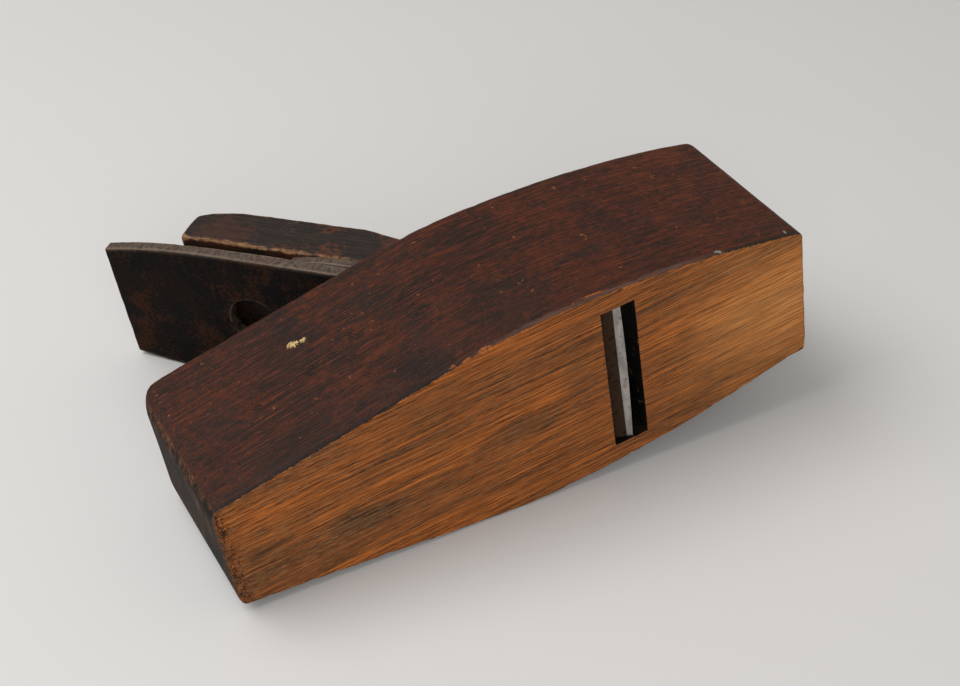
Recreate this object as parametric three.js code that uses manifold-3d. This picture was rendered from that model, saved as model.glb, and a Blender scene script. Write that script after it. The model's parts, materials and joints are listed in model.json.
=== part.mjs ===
// A coffin-shaped wooden smoothing plane: block, cutting iron, cap iron with its boss and screw, wedge.
// It lies on its left cheek, as such a plane is put down to spare its edge. Millimetres, +Z up.
//
// The plane's own frame: x from heel to toe, y from the sole into the block, z to the right cheek.
// The bed frame stands at the foot of the bed: x forward of the bed, y up the bed, z as above.
// The face frame stands at the cutting edge on the iron's front face: x off the face, y up the iron.

import * as THREE from 'three';
import { mergeVertices } from 'three/addons/utils/BufferGeometryUtils.js';
import Module from 'manifold-3d';

const wasm = await Module();
wasm.setup();

// Clearances
const seatGap = 0.3;
const sideGap = 0.3;

// Cutting iron, with places measured from its cutting edge
const ironWidth = 53;
const ironLength = 180.5;
const ironEdgeThickness = 5.1;
const ironTopThickness = 3.7;
const ironCornerLength = 40;
const ironCornerCut = 4;
const keyholeDiameter = 19.5;
const keyholeFromEdge = 127.5;
const slotFromEdge = 40;
const honedLength = 3.2;
const honedAngle = 33;
const bevelAngle = 27;
const edgeInsideSole = 0.25;

// Cap iron
const capSetback = 1.5;
const capLength = 111;
const capThickness = 3.2;
const capTipThickness = 0.6;
const capHumpLength = 26;
const capHumpRise = 2.2;
const capTipShare = 0.35;
const capCornerLength = 18;
const capCornerCut = 2.2;

// Cap iron screw and its boss
const screwFromEdge = 66;
const shankDiameter = 8;
const headDiameter = 17.5;
const headThickness = 3.5;
const headSlotWidth = 1.6;
const headSlotDepth = 1.4;
const threadGap = 0.3;
const shankPastBoss = 0.6;
const slotSideGap = 1.2;
const bossNeckDiameter = 14;
const bossDiameter = 20;
const bossHeight = 4;

// Wedge
const wedgeThickness = 16.5;
const wedgeTaper = 11.2;
const wedgeTipFromEdge = 29.5;
const wedgeTipThickness = 4;
const wedgeTopFromEdge = 154.5;
// Worn top of the wedge: how far below its top and behind its front each point of the curve lies
const wedgeTopCurve = [[22, 0], [13.5, 0.9], [6, 1.8], [2.6, 3.4], [0, 6.8]];
const wedgeTopBackWear = 1.5;
const wedgeSideGap = 0.6;
const prongWidth = 9;
const crotchFromEdge = 57;
const bossGrooveGap = 1.4;

// Block
const blockLength = 200;
const blockHeight = 64.6;
const cheekWall = 7.5;
const widestFromHeel = 108;
const heelNarrowing = 15.1;
const toeNarrowing = 11.5;
const flankCurveLength = 24;
const wornEdge = 1;
const heelTopRadius = 9;
const toeTopRadius = 5.5;
const endSoleRadius = 1.5;
const heelCornerRadius = 5;
const toeLeftCornerRadius = 8;
const toeRightCornerRadius = 2.5;
const balanceFromHeel = 82;

// Bed, mouth and throat
const bedAngle = 50;
const mouthFromHeel = 127.1;
const mouthGap = 11.85;
const bedFootInMouth = 0.4;
const throatRise = 10;
const throatLean = 13;
const abutmentDepth = 7;
const headGap = 1.2;
const channelBelowHead = 4;

// How far past a surface a cutting solid reaches
const overcut = 20;

const radians = THREE.MathUtils.degToRad;
const ironSide = ironWidth / 2;
const mortiseWidth = ironWidth + 2 * sideGap;
const widestHalf = mortiseWidth / 2 + cheekWall;
const slotWidth = shankDiameter + 2 * slotSideGap;
const ironTaper = Math.atan((ironEdgeThickness - ironTopThickness) / ironLength);

// ---- solids ----

function solidOf(geometry, matrix = new THREE.Matrix4()) {
  const bare = geometry.clone();
  bare.deleteAttribute('normal');
  bare.deleteAttribute('uv');
  const merged = mergeVertices(bare.applyMatrix4(matrix), 1e-5);
  const vertProperties = new Float32Array(merged.attributes.position.array);
  const triVerts = new Uint32Array(merged.index.array);
  return new wasm.Manifold(new wasm.Mesh({ numProp: 3, vertProperties, triVerts }));
}

function geometryOf(solid) {
  const { vertProperties, triVerts } = solid.getMesh();
  const geometry = new THREE.BufferGeometry();
  geometry.setAttribute('position', new THREE.BufferAttribute(vertProperties, 3));
  geometry.setIndex(new THREE.BufferAttribute(triVerts, 1));
  geometry.computeVertexNormals();
  return geometry;
}

function shapeOf(points) {
  return new THREE.Shape(points.map(([x, y]) => new THREE.Vector2(x, y)));
}

// An outline in x and y, extruded to both sides of z = 0.
function sidePrism(points, width) {
  const geometry = new THREE.ExtrudeGeometry(shapeOf(points), { depth: width, bevelEnabled: false });
  return geometry.translate(0, 0, -width / 2);
}

// An outline in z and y, extruded along x from one place to another.
function facePrism(shape, from, to, curveSegments = 24) {
  const settings = { depth: to - from, bevelEnabled: false, curveSegments };
  const geometry = new THREE.ExtrudeGeometry(shape, settings);
  return geometry.rotateY(-Math.PI / 2).translate(to, 0, 0);
}

// A cylinder whose axis lies along x.
function roundAlongX(diameter, from, to, sides = 32) {
  const geometry = new THREE.CylinderGeometry(diameter / 2, diameter / 2, to - from, sides);
  return geometry.rotateZ(-Math.PI / 2).translate((from + to) / 2, 0, 0);
}

// A slot with round ends, along y, as a hole in an outline in z and y.
function slotPath(width, from, to) {
  const radius = width / 2;
  const path = new THREE.Path();
  path.absarc(0, to - radius, radius, 0, Math.PI, false);
  path.absarc(0, from + radius, radius, Math.PI, 2 * Math.PI, false);
  path.closePath();
  return path;
}

// Replaces each corner [x, y, radius] by an arc that touches both of its sides.
function roundCorners(corners, steps = 6) {
  return corners.flatMap(([x, y, radius], i) => {
    if (!radius) return [[x, y]];
    const corner = new THREE.Vector2(x, y);
    const [before, after] = [corners.at(i - 1), corners[(i + 1) % corners.length]].map(
      ([px, py]) => new THREE.Vector2(px, py).sub(corner).normalize());
    const halfAngle = Math.acos(before.dot(after)) / 2;
    const middle = before.clone().add(after).setLength(radius / Math.sin(halfAngle)).add(corner);
    const start = before.multiplyScalar(radius / Math.tan(halfAngle)).add(corner).sub(middle);
    const end = after.multiplyScalar(radius / Math.tan(halfAngle)).add(corner).sub(middle);
    const turn = Math.atan2(start.cross(end), start.dot(end));
    return Array.from({ length: steps + 1 }, (_, k) => {
      const point = start.clone().rotateAround(new THREE.Vector2(), turn * k / steps).add(middle);
      return [point.x, point.y];
    });
  });
}

// ---- frames ----

const bedFoot = mouthFromHeel + bedFootInMouth;
const bedTurn = radians(90 - bedAngle);
const bedFrame = new THREE.Group();
bedFrame.position.set(bedFoot, 0, 0);
bedFrame.rotation.z = bedTurn;

// The cutting edge stands edgeInsideSole above the sole, on the front face of the seated iron.
const edgeOffBed = seatGap + ironEdgeThickness;
const edgeUpBed = (edgeInsideSole - edgeOffBed * Math.sin(bedTurn)) / Math.cos(bedTurn);
const faceFrame = new THREE.Group();
faceFrame.position.set(edgeOffBed, edgeUpBed, 0);
faceFrame.rotation.z = ironTaper;
bedFrame.add(faceFrame);
bedFrame.updateMatrixWorld(true);
const onBed = bedFrame.matrixWorld.clone();
const onFace = faceFrame.matrixWorld.clone();

// Seats of the stacked pieces, measured off the iron's front face
const capBack = seatGap;
const capFront = capBack + capThickness;
const wedgeBack = capFront + seatGap;
const bossFront = capFront + seatGap + bossHeight;
const headFront = -(ironEdgeThickness - Math.tan(ironTaper) * screwFromEdge) - seatGap;
const headBack = headFront - headThickness;

// The abutments die out into the cheeks where the cap iron's hump ends, so that the hump passes them.
const humpEnd = new THREE.Vector3(capFront, capSetback + capHumpLength, 0).applyMatrix4(onFace);
const eyeHeight = humpEnd.y;

// ---- block ----

// Half the block's width: a straight flank from the heel, a short curve up to the widest place,
// then one long curve down to the toe.
function halfWidth(x) {
  const slope = heelNarrowing / (widestFromHeel - flankCurveLength / 2);
  const behind = widestFromHeel - x;
  if (behind > flankCurveLength) return widestHalf - heelNarrowing + slope * x;
  if (behind > 0) return widestHalf - slope * behind ** 2 / (2 * flankCurveLength);
  return widestHalf - toeNarrowing * (behind / (blockLength - widestFromHeel)) ** 2;
}

function flankStations() {
  const rearCurve = Array.from({ length: 6 }, (_, k) => widestFromHeel - flankCurveLength * (1 - k / 6));
  const toToe = blockLength - widestFromHeel;
  const front = Array.from({ length: 7 }, (_, k) => widestFromHeel + toToe * k / 7);
  return [...rearCurve, ...front];
}

function planOutline() {
  const stations = flankStations();
  const left = stations.map((x) => [x, -halfWidth(x)]);
  const right = stations.map((x) => [x, halfWidth(x)]).reverse();
  return roundCorners([
    [0, -halfWidth(0), heelCornerRadius],
    ...left,
    [blockLength, -halfWidth(blockLength), toeLeftCornerRadius],
    [blockLength, halfWidth(blockLength), toeRightCornerRadius],
    ...right,
    [0, halfWidth(0), heelCornerRadius],
  ]);
}

function blankBlock() {
  const settings = {
    depth: blockHeight - 2 * wornEdge,
    bevelThickness: wornEdge,
    bevelSize: wornEdge,
    bevelOffset: -wornEdge,
    bevelSegments: 2,
  };
  const plan = new THREE.ExtrudeGeometry(shapeOf(planOutline()), settings);
  plan.translate(0, 0, wornEdge - blockHeight).rotateX(Math.PI / 2);
  const side = roundCorners([
    [0, 0, endSoleRadius],
    [blockLength, 0, endSoleRadius],
    [blockLength, blockHeight, toeTopRadius],
    [0, blockHeight, heelTopRadius],
  ]);
  return solidOf(plan).intersect(solidOf(sidePrism(side, 2 * widestHalf + overcut)));
}

// The wedge's front face: a line in the face frame through its tip, at the wedge's taper.
function wedgeFront(y, gap = 0) {
  const slope = Math.tan(radians(wedgeTaper));
  return wedgeBack + wedgeTipThickness + (y - wedgeTipFromEdge) * slope + gap / Math.cos(Math.atan(slope));
}

// The slot for the irons and the wedge: bed behind, abutments in front, as wide as the iron.
function mortise() {
  const top = ironLength;
  const low = -overcut;
  const bed = [[0, low], [0, top]].map(([x, y]) => new THREE.Vector3(x, y, 0).applyMatrix4(onBed));
  const onAbutment = (y) => new THREE.Vector3(wedgeFront(y, seatGap), y, 0).applyMatrix4(onFace);
  const abutment = [onAbutment(top), onAbutment(low)];
  const outline = sidePrism([...bed, ...abutment].map(({ x, y }) => [x, y]), mortiseWidth);
  const aboveSole = sidePrism([
    [-overcut, 0], [blockLength, 0], [blockLength, 2 * blockHeight], [-overcut, 2 * blockHeight],
  ], mortiseWidth + overcut);
  return solidOf(outline).intersect(solidOf(aboveSole));
}

// The throat in front of the abutments: upright at the mouth, then leaning to the toe. From the front
// it is as wide as the mouth up to the eyes, and narrows by the abutments' depth at the top.
function escapement() {
  const front = mouthFromHeel + mouthGap;
  const high = blockHeight + overcut;
  const lean = throatLean / (blockHeight - throatRise);
  const side = sidePrism([
    [mouthFromHeel, -overcut], [front, -overcut], [front, throatRise],
    [front + lean * (high - throatRise), high], [mouthFromHeel - high, high], [mouthFromHeel, throatRise],
  ], mortiseWidth + overcut);
  const half = mortiseWidth / 2;
  const narrowing = abutmentDepth / (blockHeight - eyeHeight);
  const topHalf = half - narrowing * (high - eyeHeight);
  const view = shapeOf([
    [-half, -overcut], [half, -overcut], [half, eyeHeight],
    [topHalf, high], [-topHalf, high], [-half, eyeHeight],
  ]);
  const aheadOfBed = sidePrism([
    [0, -overcut], [2 * blockLength, -overcut], [2 * blockLength, 2 * blockLength], [0, 2 * blockLength],
  ], mortiseWidth + overcut);
  return solidOf(side)
    .intersect(solidOf(facePrism(view, -overcut, blockLength + overcut)))
    .intersect(solidOf(aheadOfBed, onBed).add(solidOf(mouthBox())));
}

function mouthBox() {
  return sidePrism([
    [mouthFromHeel, -overcut], [mouthFromHeel + mouthGap, -overcut],
    [mouthFromHeel + mouthGap, throatRise], [mouthFromHeel, throatRise],
  ], mortiseWidth);
}

// The groove down the bed that clears the screw's head, with a round lower end.
function screwChannel() {
  const width = headDiameter + 2 * headGap;
  const from = edgeUpBed + screwFromEdge - headDiameter / 2 - channelBelowHead;
  const groove = new THREE.Shape();
  groove.absarc(0, from + width / 2, width / 2, Math.PI, 2 * Math.PI, false);
  groove.lineTo(width / 2, ironLength);
  groove.lineTo(-width / 2, ironLength);
  groove.closePath();
  const depth = -(headBack + edgeOffBed) + headGap;
  return solidOf(facePrism(groove, -depth, seatGap, 12), onBed);
}

function stockSolid() {
  return blankBlock()
    .subtract(mortise())
    .subtract(escapement())
    .subtract(screwChannel());
}

// ---- irons ----

// Half the iron's width: full up to the corner's start, then a curve in towards the top end.
function cornerCurve(side, top, length, cut, steps = 5) {
  const shares = Array.from({ length: steps + 1 }, (_, k) => k / steps);
  return shares.map((share) => [side - cut * share ** 2, top - length * (1 - share)]);
}

function ironOutline(side, bottom, top, cornerLength, cornerCut) {
  const corner = cornerCurve(side, top, cornerLength, cornerCut);
  const mirrored = corner.map(([z, y]) => [-z, y]).reverse();
  return shapeOf([[-side, bottom], [side, bottom], ...corner, ...mirrored]);
}

// Side profile in the face frame: the flat front face, the honed edge, the bevel, the back on the bed.
function ironProfile() {
  const honed = [-honedLength * Math.sin(radians(honedAngle)), honedLength * Math.cos(radians(honedAngle))];
  const leaves = -ironEdgeThickness;
  const bevelRise = (honed[0] - leaves) / Math.tan(radians(bevelAngle));
  return [[0, 0], [0, ironLength], [-ironTopThickness, ironLength], [leaves, honed[1] + bevelRise], honed];
}

function ironSolid() {
  const outline = ironOutline(ironSide, -overcut, ironLength, ironCornerLength, ironCornerCut);
  outline.holes.push(slotPath(slotWidth, slotFromEdge, keyholeFromEdge));
  const keyholeSegments = 40;
  const keyhole = roundAlongX(keyholeDiameter, -overcut, overcut, keyholeSegments);
  keyhole.translate(0, keyholeFromEdge, 0);
  return solidOf(sidePrism(ironProfile(), ironWidth + overcut))
    .intersect(solidOf(facePrism(outline, -overcut, overcut)))
    .subtract(solidOf(keyhole));
}

// The cap iron's back lifts in one smooth hump: steep at the tip, easing onto the flat of the plate.
function humpLift(t) {
  return capHumpRise * Math.sin(Math.PI * t ** 0.6) ** 2;
}

function capProfile() {
  const steps = 14;
  const top = capSetback + capLength;
  const hump = Array.from({ length: steps + 1 }, (_, k) => (k / steps) ** 1.5);
  const place = (t) => capSetback + capHumpLength * t;
  const thick = (t) => THREE.MathUtils.lerp(capTipThickness, capThickness, Math.min(1, t / capTipShare));
  const back = hump.map((t) => [capBack + humpLift(t), place(t)]);
  const front = hump.map((t) => [capBack + humpLift(t) + thick(t), place(t)]);
  return [...front, [capFront, top], [capBack, top], ...back.reverse()];
}

function capSolid() {
  const top = capSetback + capLength;
  const outline = ironOutline(ironSide, -overcut, top, capCornerLength, capCornerCut);
  const neck = roundAlongX(bossNeckDiameter + 2 * seatGap, -overcut, overcut).translate(0, screwFromEdge, 0);
  return solidOf(sidePrism(capProfile(), ironWidth + overcut))
    .intersect(solidOf(facePrism(outline, -overcut, overcut)))
    .subtract(solidOf(neck));
}

// A flanged nut: its neck sits in the cap iron, its flange on the front, and the screw runs through it.
function bossSolid() {
  const neck = roundAlongX(bossNeckDiameter, capBack, capFront + 2 * seatGap);
  const flange = roundAlongX(bossDiameter, capFront + seatGap, bossFront);
  const bore = roundAlongX(shankDiameter + 2 * threadGap, -overcut, overcut);
  return solidOf(neck).add(solidOf(flange)).subtract(solidOf(bore));
}

function screwSolid() {
  const head = roundAlongX(headDiameter, headBack, headFront);
  const shank = roundAlongX(shankDiameter, headFront - seatGap, bossFront + shankPastBoss);
  const slot = new THREE.BoxGeometry(headSlotDepth, 2 * headDiameter, headSlotWidth);
  slot.translate(headBack + headSlotDepth / 2, 0, 0);
  return solidOf(head).add(solidOf(shank)).subtract(solidOf(slot));
}

// ---- wedge ----

// Side profile: flat back on the cap iron, tapered front below, parallel above, worn round at the top.
function wedgeProfile() {
  const front = wedgeBack + wedgeThickness;
  const taperEnds = wedgeTipFromEdge + (wedgeThickness - wedgeTipThickness) / Math.tan(radians(wedgeTaper));
  const top = wedgeTopFromEdge;
  return [
    [wedgeBack, wedgeTipFromEdge],
    [wedgeFront(wedgeTipFromEdge), wedgeTipFromEdge],
    [front, taperEnds],
    ...wedgeTopCurve.map(([below, behind]) => [front - behind, top - below]),
    [wedgeBack + wedgeTopBackWear, top], [wedgeBack, top - wedgeTopBackWear],
  ];
}

function wedgeSolid() {
  const side = mortiseWidth / 2 - wedgeSideGap;
  const inner = side - prongWidth;
  const fork = new THREE.Shape();
  fork.moveTo(-inner, -overcut);
  fork.lineTo(inner, -overcut);
  fork.lineTo(inner, crotchFromEdge - inner / 2);
  fork.absellipse(0, crotchFromEdge - inner / 2, inner, inner / 2, 0, Math.PI, false);
  fork.closePath();
  const grooveRadius = bossDiameter / 2 + bossGrooveGap;
  const groove = new THREE.Shape();
  groove.moveTo(-grooveRadius, 0);
  groove.lineTo(grooveRadius, 0);
  groove.absarc(0, screwFromEdge, grooveRadius, 0, Math.PI, false);
  groove.closePath();
  const grooveFront = bossFront + shankPastBoss + bossGrooveGap;
  return solidOf(sidePrism(wedgeProfile(), 2 * side))
    .subtract(solidOf(facePrism(fork, 0, 2 * wedgeThickness, 12)))
    .subtract(solidOf(facePrism(groove, 0, grooveFront, 12)));
}

// ---- the resting tilt ----

// Points of the left side as seen from above the sole: x, and how far each stands out to the left.
function leftSidePoints() {
  const block = planOutline().filter(([, z]) => z < 0).map(([x, z]) => [x, -z]);
  const iron = [...cornerCurve(ironSide, ironLength, ironCornerLength, ironCornerCut)].flatMap(([out, y]) =>
    [0, -ironTopThickness].map((off) => [new THREE.Vector3(off, y, 0).applyMatrix4(onFace).x, out]));
  return [...block, ...iron].sort((p, q) => p[0] - q[0]);
}

// The plane rests on the edge of its left side's outer hull that lies under the balance point.
function restingEdge(balance) {
  const hull = [];
  for (const point of leftSidePoints()) {
    const dents = () => {
      const [[ax, ay], [bx, by]] = hull.slice(-2);
      return (bx - ax) * (point[1] - ay) - (by - ay) * (point[0] - ax) >= 0;
    };
    while (hull.length > 1 && dents()) hull.pop();
    hull.push(point);
  }
  const ahead = hull.findIndex(([x]) => x > balance);
  return [hull[ahead - 1], hull[ahead]];
}

const [[rearX, rearOut], [aheadX, aheadOut]] = restingEdge(balanceFromHeel);
const restTilt = Math.atan2(aheadOut - rearOut, aheadX - rearX);

// ---- assembly ----

function piece(name, solid, color, roughness, metalness) {
  const material = new THREE.MeshStandardMaterial({ color, roughness, metalness });
  const mesh = new THREE.Mesh(geometryOf(solid), material);
  mesh.name = name;
  return mesh;
}

const screwPlace = new THREE.Group();
screwPlace.position.y = screwFromEdge;
screwPlace.add(
  piece('cap_iron_boss', bossSolid(), '#8f7440', 0.45, 1),
  piece('cap_iron_screw', screwSolid(), '#4a4440', 0.5, 1),
);
faceFrame.add(
  piece('cutting_iron', ironSolid(), '#3d332d', 0.55, 1),
  piece('cap_iron', capSolid(), '#433a34', 0.55, 1),
  piece('wedge', wedgeSolid(), '#3a2219', 0.6, 0),
  screwPlace,
);

const lying = new THREE.Group();
lying.rotation.y = -restTilt;
lying.add(piece('stock', stockSolid(), '#5e3620', 0.6, 0), bedFrame);

const plane = new THREE.Group();
plane.add(lying);
const bounds = new THREE.Box3().setFromObject(plane, true);
const middle = bounds.getCenter(new THREE.Vector3());
lying.position.set(-middle.x, -middle.y, -bounds.min.z);
plane.updateMatrixWorld(true);

export default plane;
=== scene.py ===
import json
import math
import bpy
import numpy as np
from mathutils import Matrix, Vector


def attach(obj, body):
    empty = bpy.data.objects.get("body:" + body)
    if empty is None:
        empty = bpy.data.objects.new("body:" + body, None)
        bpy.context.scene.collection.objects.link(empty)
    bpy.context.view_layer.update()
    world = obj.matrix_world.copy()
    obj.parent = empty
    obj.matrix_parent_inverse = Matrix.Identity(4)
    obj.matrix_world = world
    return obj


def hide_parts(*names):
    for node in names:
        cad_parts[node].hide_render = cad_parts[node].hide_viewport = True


# A coffin-shaped wooden smoothing plane, lying on its left cheek.
# Three frames are used below, all in millimetres:
#   plane frame: x from heel to toe, y from the sole into the block, z to the right cheek
#   bed frame:   x forward of the bed, y up the bed, z to the right cheek, from the foot of the bed
#   face frame:  x off the iron's front face, y up the iron, z to the right cheek, from the cutting edge

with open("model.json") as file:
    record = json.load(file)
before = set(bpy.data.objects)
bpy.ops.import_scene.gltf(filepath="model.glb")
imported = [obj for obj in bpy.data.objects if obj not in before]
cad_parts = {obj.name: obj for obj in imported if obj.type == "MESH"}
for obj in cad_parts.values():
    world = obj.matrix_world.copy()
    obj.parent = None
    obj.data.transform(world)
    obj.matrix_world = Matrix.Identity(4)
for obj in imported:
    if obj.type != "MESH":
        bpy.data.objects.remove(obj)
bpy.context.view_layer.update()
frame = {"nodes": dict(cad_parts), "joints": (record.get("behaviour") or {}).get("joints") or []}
joints = {joint["name"]: joint for joint in frame["joints"]}
mmPerMetre = 1000.0


def unit(vector):
    vector = np.array(vector, float)
    return vector / np.linalg.norm(vector)


def nodePoints(name):  # a CAD node's vertices, in millimetres
    mesh = frame["nodes"][name].data
    flat = np.empty(len(mesh.vertices) * 3)
    mesh.vertices.foreach_get("co", flat)
    return flat.reshape(-1, 3) * mmPerMetre


class Axes:  # a turned frame: three unit rows and an origin, in millimetres
    def __init__(self, rows, origin):
        self.rows, self.origin = np.array(rows, float), np.array(origin, float)

    def inside(self, points):
        return (points - self.origin) @ self.rows.T

    def outside(self, points):
        return points @ self.rows + self.origin


bedUp = unit(joints["iron_slide"]["axis"])
faceUp = unit(joints["cap_iron_slide"]["axis"])
faceOut = unit(joints["screw_turn"]["axis"])
tilt = math.atan2(-bedUp[2], -bedUp[0])
alongBlock = np.array([math.cos(tilt), 0, math.sin(tilt)])
intoBlock = np.array([0, 1.0, 0])
acrossBlock = np.array([-math.sin(tilt), 0, math.cos(tilt)])

blockRows = np.array([alongBlock, intoBlock, acrossBlock])
stockLocal = nodePoints("stock") @ blockRows.T
heelSole = stockLocal.min(0)
blockSize = np.ptp(stockLocal, axis=0)
heelMiddle = heelSole + np.array([0, 0, blockSize[2] / 2])
planeFrame = Axes(blockRows, heelMiddle @ blockRows)

faceRows = np.array([faceOut, faceUp, acrossBlock])
ironLocal = nodePoints("cutting_iron") @ faceRows.T
ironSize = np.ptp(ironLocal, axis=0)
edgePlace = np.array([ironLocal[:, 0].max(), ironLocal[:, 1].min(), ironSize[2] / 2 + ironLocal[:, 2].min()])
faceFrame = Axes(faceRows, edgePlace @ faceRows)
wedgeTop = (nodePoints("wedge") @ faceRows.T)[:, 1].max() - edgePlace[1]

fitGap = 0.3  # between pieces that lie on each other
mouth = {
    "rear": 127.1,  # from the heel
    "gap": 11.85,
    "bedFoot": 0.4,  # the bed's foot stands this far inside the mouth
    "rise": 10.0,  # the throat's front is upright this far
    "lean": 13.0,  # then leans this far to the toe
    "abutment": 7.0,  # depth of the abutments at the top
    "sideGap": 0.3,
}
bedFrame = Axes(
    [np.cross(bedUp, acrossBlock), bedUp, acrossBlock],
    planeFrame.outside(np.array([mouth["rear"] + mouth["bedFoot"], 0, 0])),
)
print("frames ready: tilt %.2f degrees, block %.1f x %.1f x %.1f mm" % (math.degrees(tilt), *blockSize))


def smoothWaves(points, wavelength, seed, waves=14):
    # Soft unevenness: a sum of sine waves in random directions, about -1 to 1
    random = np.random.default_rng(seed)
    directions = random.normal(size=(waves, 3))
    directions /= np.linalg.norm(directions, axis=1)[:, None]
    turns = 2 * math.pi / (wavelength * random.uniform(0.7, 1.6, waves))
    phases = random.uniform(0, 2 * math.pi, waves)
    total = sum(np.sin((points @ d) * turn + phase) for d, turn, phase in zip(directions, turns, phases))
    return total / math.sqrt(waves)


def evenly(low, high, spacing):
    return np.linspace(low, high, max(2, int(round((high - low) / spacing)) + 1))


def roundedRings(low, high, radius, acrossLines, upLines, arcSteps=5):
    # One rounded rectangle for each row of low and high (x, z): along the low-x side, round the corner,
    # up the high-z side, along the high-x side and down the low-z side. The lines are shares of a side.
    (x0, z0), (x1, z1) = low.T[:, :, None], high.T[:, :, None]
    r = np.minimum(radius, 0.45 * np.minimum(x1 - x0, z1 - z0))
    across, up = np.atleast_2d(acrossLines), np.atleast_2d(upLines)
    turn = (np.arange(1, arcSteps) / arcSteps * math.pi / 2)[None, :]
    sine, cosine = np.sin(turn), np.cos(turn)
    still = np.zeros_like
    zAcross = z0 + r + (z1 - z0 - 2 * r) * across
    xUp = x0 + r + (x1 - x0 - 2 * r) * up
    xs = [x0 + still(zAcross), x0 + r - r * cosine, xUp, x1 - r + r * sine,
          x1 + still(zAcross), x1 - r + r * cosine, xUp[:, ::-1], x0 + r - r * sine]
    zs = [zAcross, z1 - r + r * sine, z1 + still(xUp), z1 - r + r * cosine,
          zAcross[:, ::-1], z0 + r - r * sine, z0 + still(xUp), z0 + r - r * cosine]
    return np.concatenate(xs, 1), np.concatenate(zs, 1)


def ringFaces(rings, around, closeEnds=True):
    # Quads between neighbouring rings, and a fan to the last two points at both ends
    k, j = np.meshgrid(np.arange(rings - 1), np.arange(around), indexing="ij")
    after = (j + 1) % around
    here, above = k * around, (k + 1) * around
    quads = np.stack([here + j, here + after, above + after, above + j], -1)
    faces = quads.reshape(-1, 4).tolist()
    if closeEnds:
        first, last = rings * around, rings * around + 1
        ring = np.arange(around)
        nextRing = (ring + 1) % around
        top = (rings - 1) * around
        faces += np.stack([nextRing, ring, np.full(around, first)], -1).tolist()
        faces += np.stack([top + ring, top + nextRing, np.full(around, last)], -1).tolist()
    return faces


def signedVolume(points, faces):
    # Six times the volume: positive where the faces point outward
    triangles = np.array([(f[0], f[i], f[i + 1]) for f in faces for i in range(1, len(f) - 1)])
    a, b, c = points[triangles[:, 0]], points[triangles[:, 1]], points[triangles[:, 2]]
    return np.einsum("ij,ij->i", a, np.cross(b, c)).sum()


def makePiece(name, points, faces, axes):
    # Points are in the given frame, in millimetres. Their place goes into the mesh, and faces turn outward.
    placed = axes.outside(points)
    if signedVolume(placed - placed.mean(0), faces) < 0:
        faces = [face[::-1] for face in faces]
    mesh = bpy.data.meshes.new(name)
    mesh.from_pydata((placed / mmPerMetre).tolist(), [], faces)
    mesh.validate()
    piece = bpy.data.objects.new(name, mesh)
    bpy.context.scene.collection.objects.link(piece)
    return piece


def prism(name, outline, low, high, axes, flat=2):
    # An outline in two of the frame's axes, carried along the third (flat) from low to high
    outline = np.array(outline, float)
    count = len(outline)
    columns = [i for i in range(3) if i != flat]
    points = np.zeros((2 * count, 3))
    points[:count, columns] = outline
    points[count:, columns] = outline
    points[:count, flat], points[count:, flat] = low, high
    faces = [[i, (i + 1) % count, count + (i + 1) % count, count + i] for i in range(count)]
    faces += [list(range(count))[::-1], list(range(count, 2 * count))]
    return makePiece(name, points, faces, axes)


def applyModifiers(piece):
    evaluated = piece.evaluated_get(bpy.context.evaluated_depsgraph_get())
    mesh = bpy.data.meshes.new_from_object(evaluated)
    piece.modifiers.clear()
    piece.data = mesh
    return piece


def cutAway(piece, cutters, inner=None):
    # Takes the cutters out of the piece; the cut faces get the cutters' own material
    for cutter in cutters:
        if inner is not None:
            cutter.data.materials.append(inner)
        cut = piece.modifiers.new("cut", "BOOLEAN")
        cut.operation, cut.solver, cut.object = "DIFFERENCE", "EXACT", cutter
        cut.material_mode = "TRANSFER"
    applyModifiers(piece)
    for cutter in cutters:
        bpy.data.objects.remove(cutter)


def easeEdges(piece, width, angle=35, segments=2):
    ease = piece.modifiers.new("ease", "BEVEL")
    ease.width, ease.segments = width / mmPerMetre, segments
    ease.limit_method, ease.angle_limit = "ANGLE", math.radians(angle)
    applyModifiers(piece)


def shadeSmooth(piece, angle=38):
    mesh = piece.data
    mesh.polygons.foreach_set("use_smooth", np.ones(len(mesh.polygons), bool))
    mesh.set_sharp_from_angle(angle=math.radians(angle))
    mesh.update()


def setAttributes(piece, axes, masks):
    # Writes the masks of every vertex onto the finished mesh
    mesh = piece.data
    flat = np.empty(len(mesh.vertices) * 3)
    mesh.vertices.foreach_get("co", flat)
    for key, values in masks(axes.inside(flat.reshape(-1, 3) * mmPerMetre)).items():
        mesh.attributes.new(key, "FLOAT", "POINT").data.foreach_set("value", np.asarray(values, np.float32))


def wire(tree, node, inputs):
    for key, value in inputs.items():
        socket = node.inputs[key]
        if isinstance(value, bpy.types.NodeSocket):
            tree.links.new(value, socket)
        else:
            socket.default_value = value
    return node


def addNode(tree, kind, inputs=None, **settings):
    node = tree.nodes.new("ShaderNode" + kind)
    for key, value in settings.items():
        setattr(node, key, value)
    return wire(tree, node, inputs or {})


def math2(tree, operation, first, second=0.0, clamp=False):
    node = addNode(tree, "Math", {0: first, 1: second}, operation=operation, use_clamp=clamp)
    return node.outputs[0]


def rangeOf(tree, value, fromLow, fromHigh, toLow=0.0, toHigh=1.0, smooth=True):
    inputs = {"Value": value, "From Min": fromLow, "From Max": fromHigh, "To Min": toLow, "To Max": toHigh}
    kind = "SMOOTHSTEP" if smooth else "LINEAR"
    return addNode(tree, "MapRange", inputs, interpolation_type=kind).outputs[0]


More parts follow.
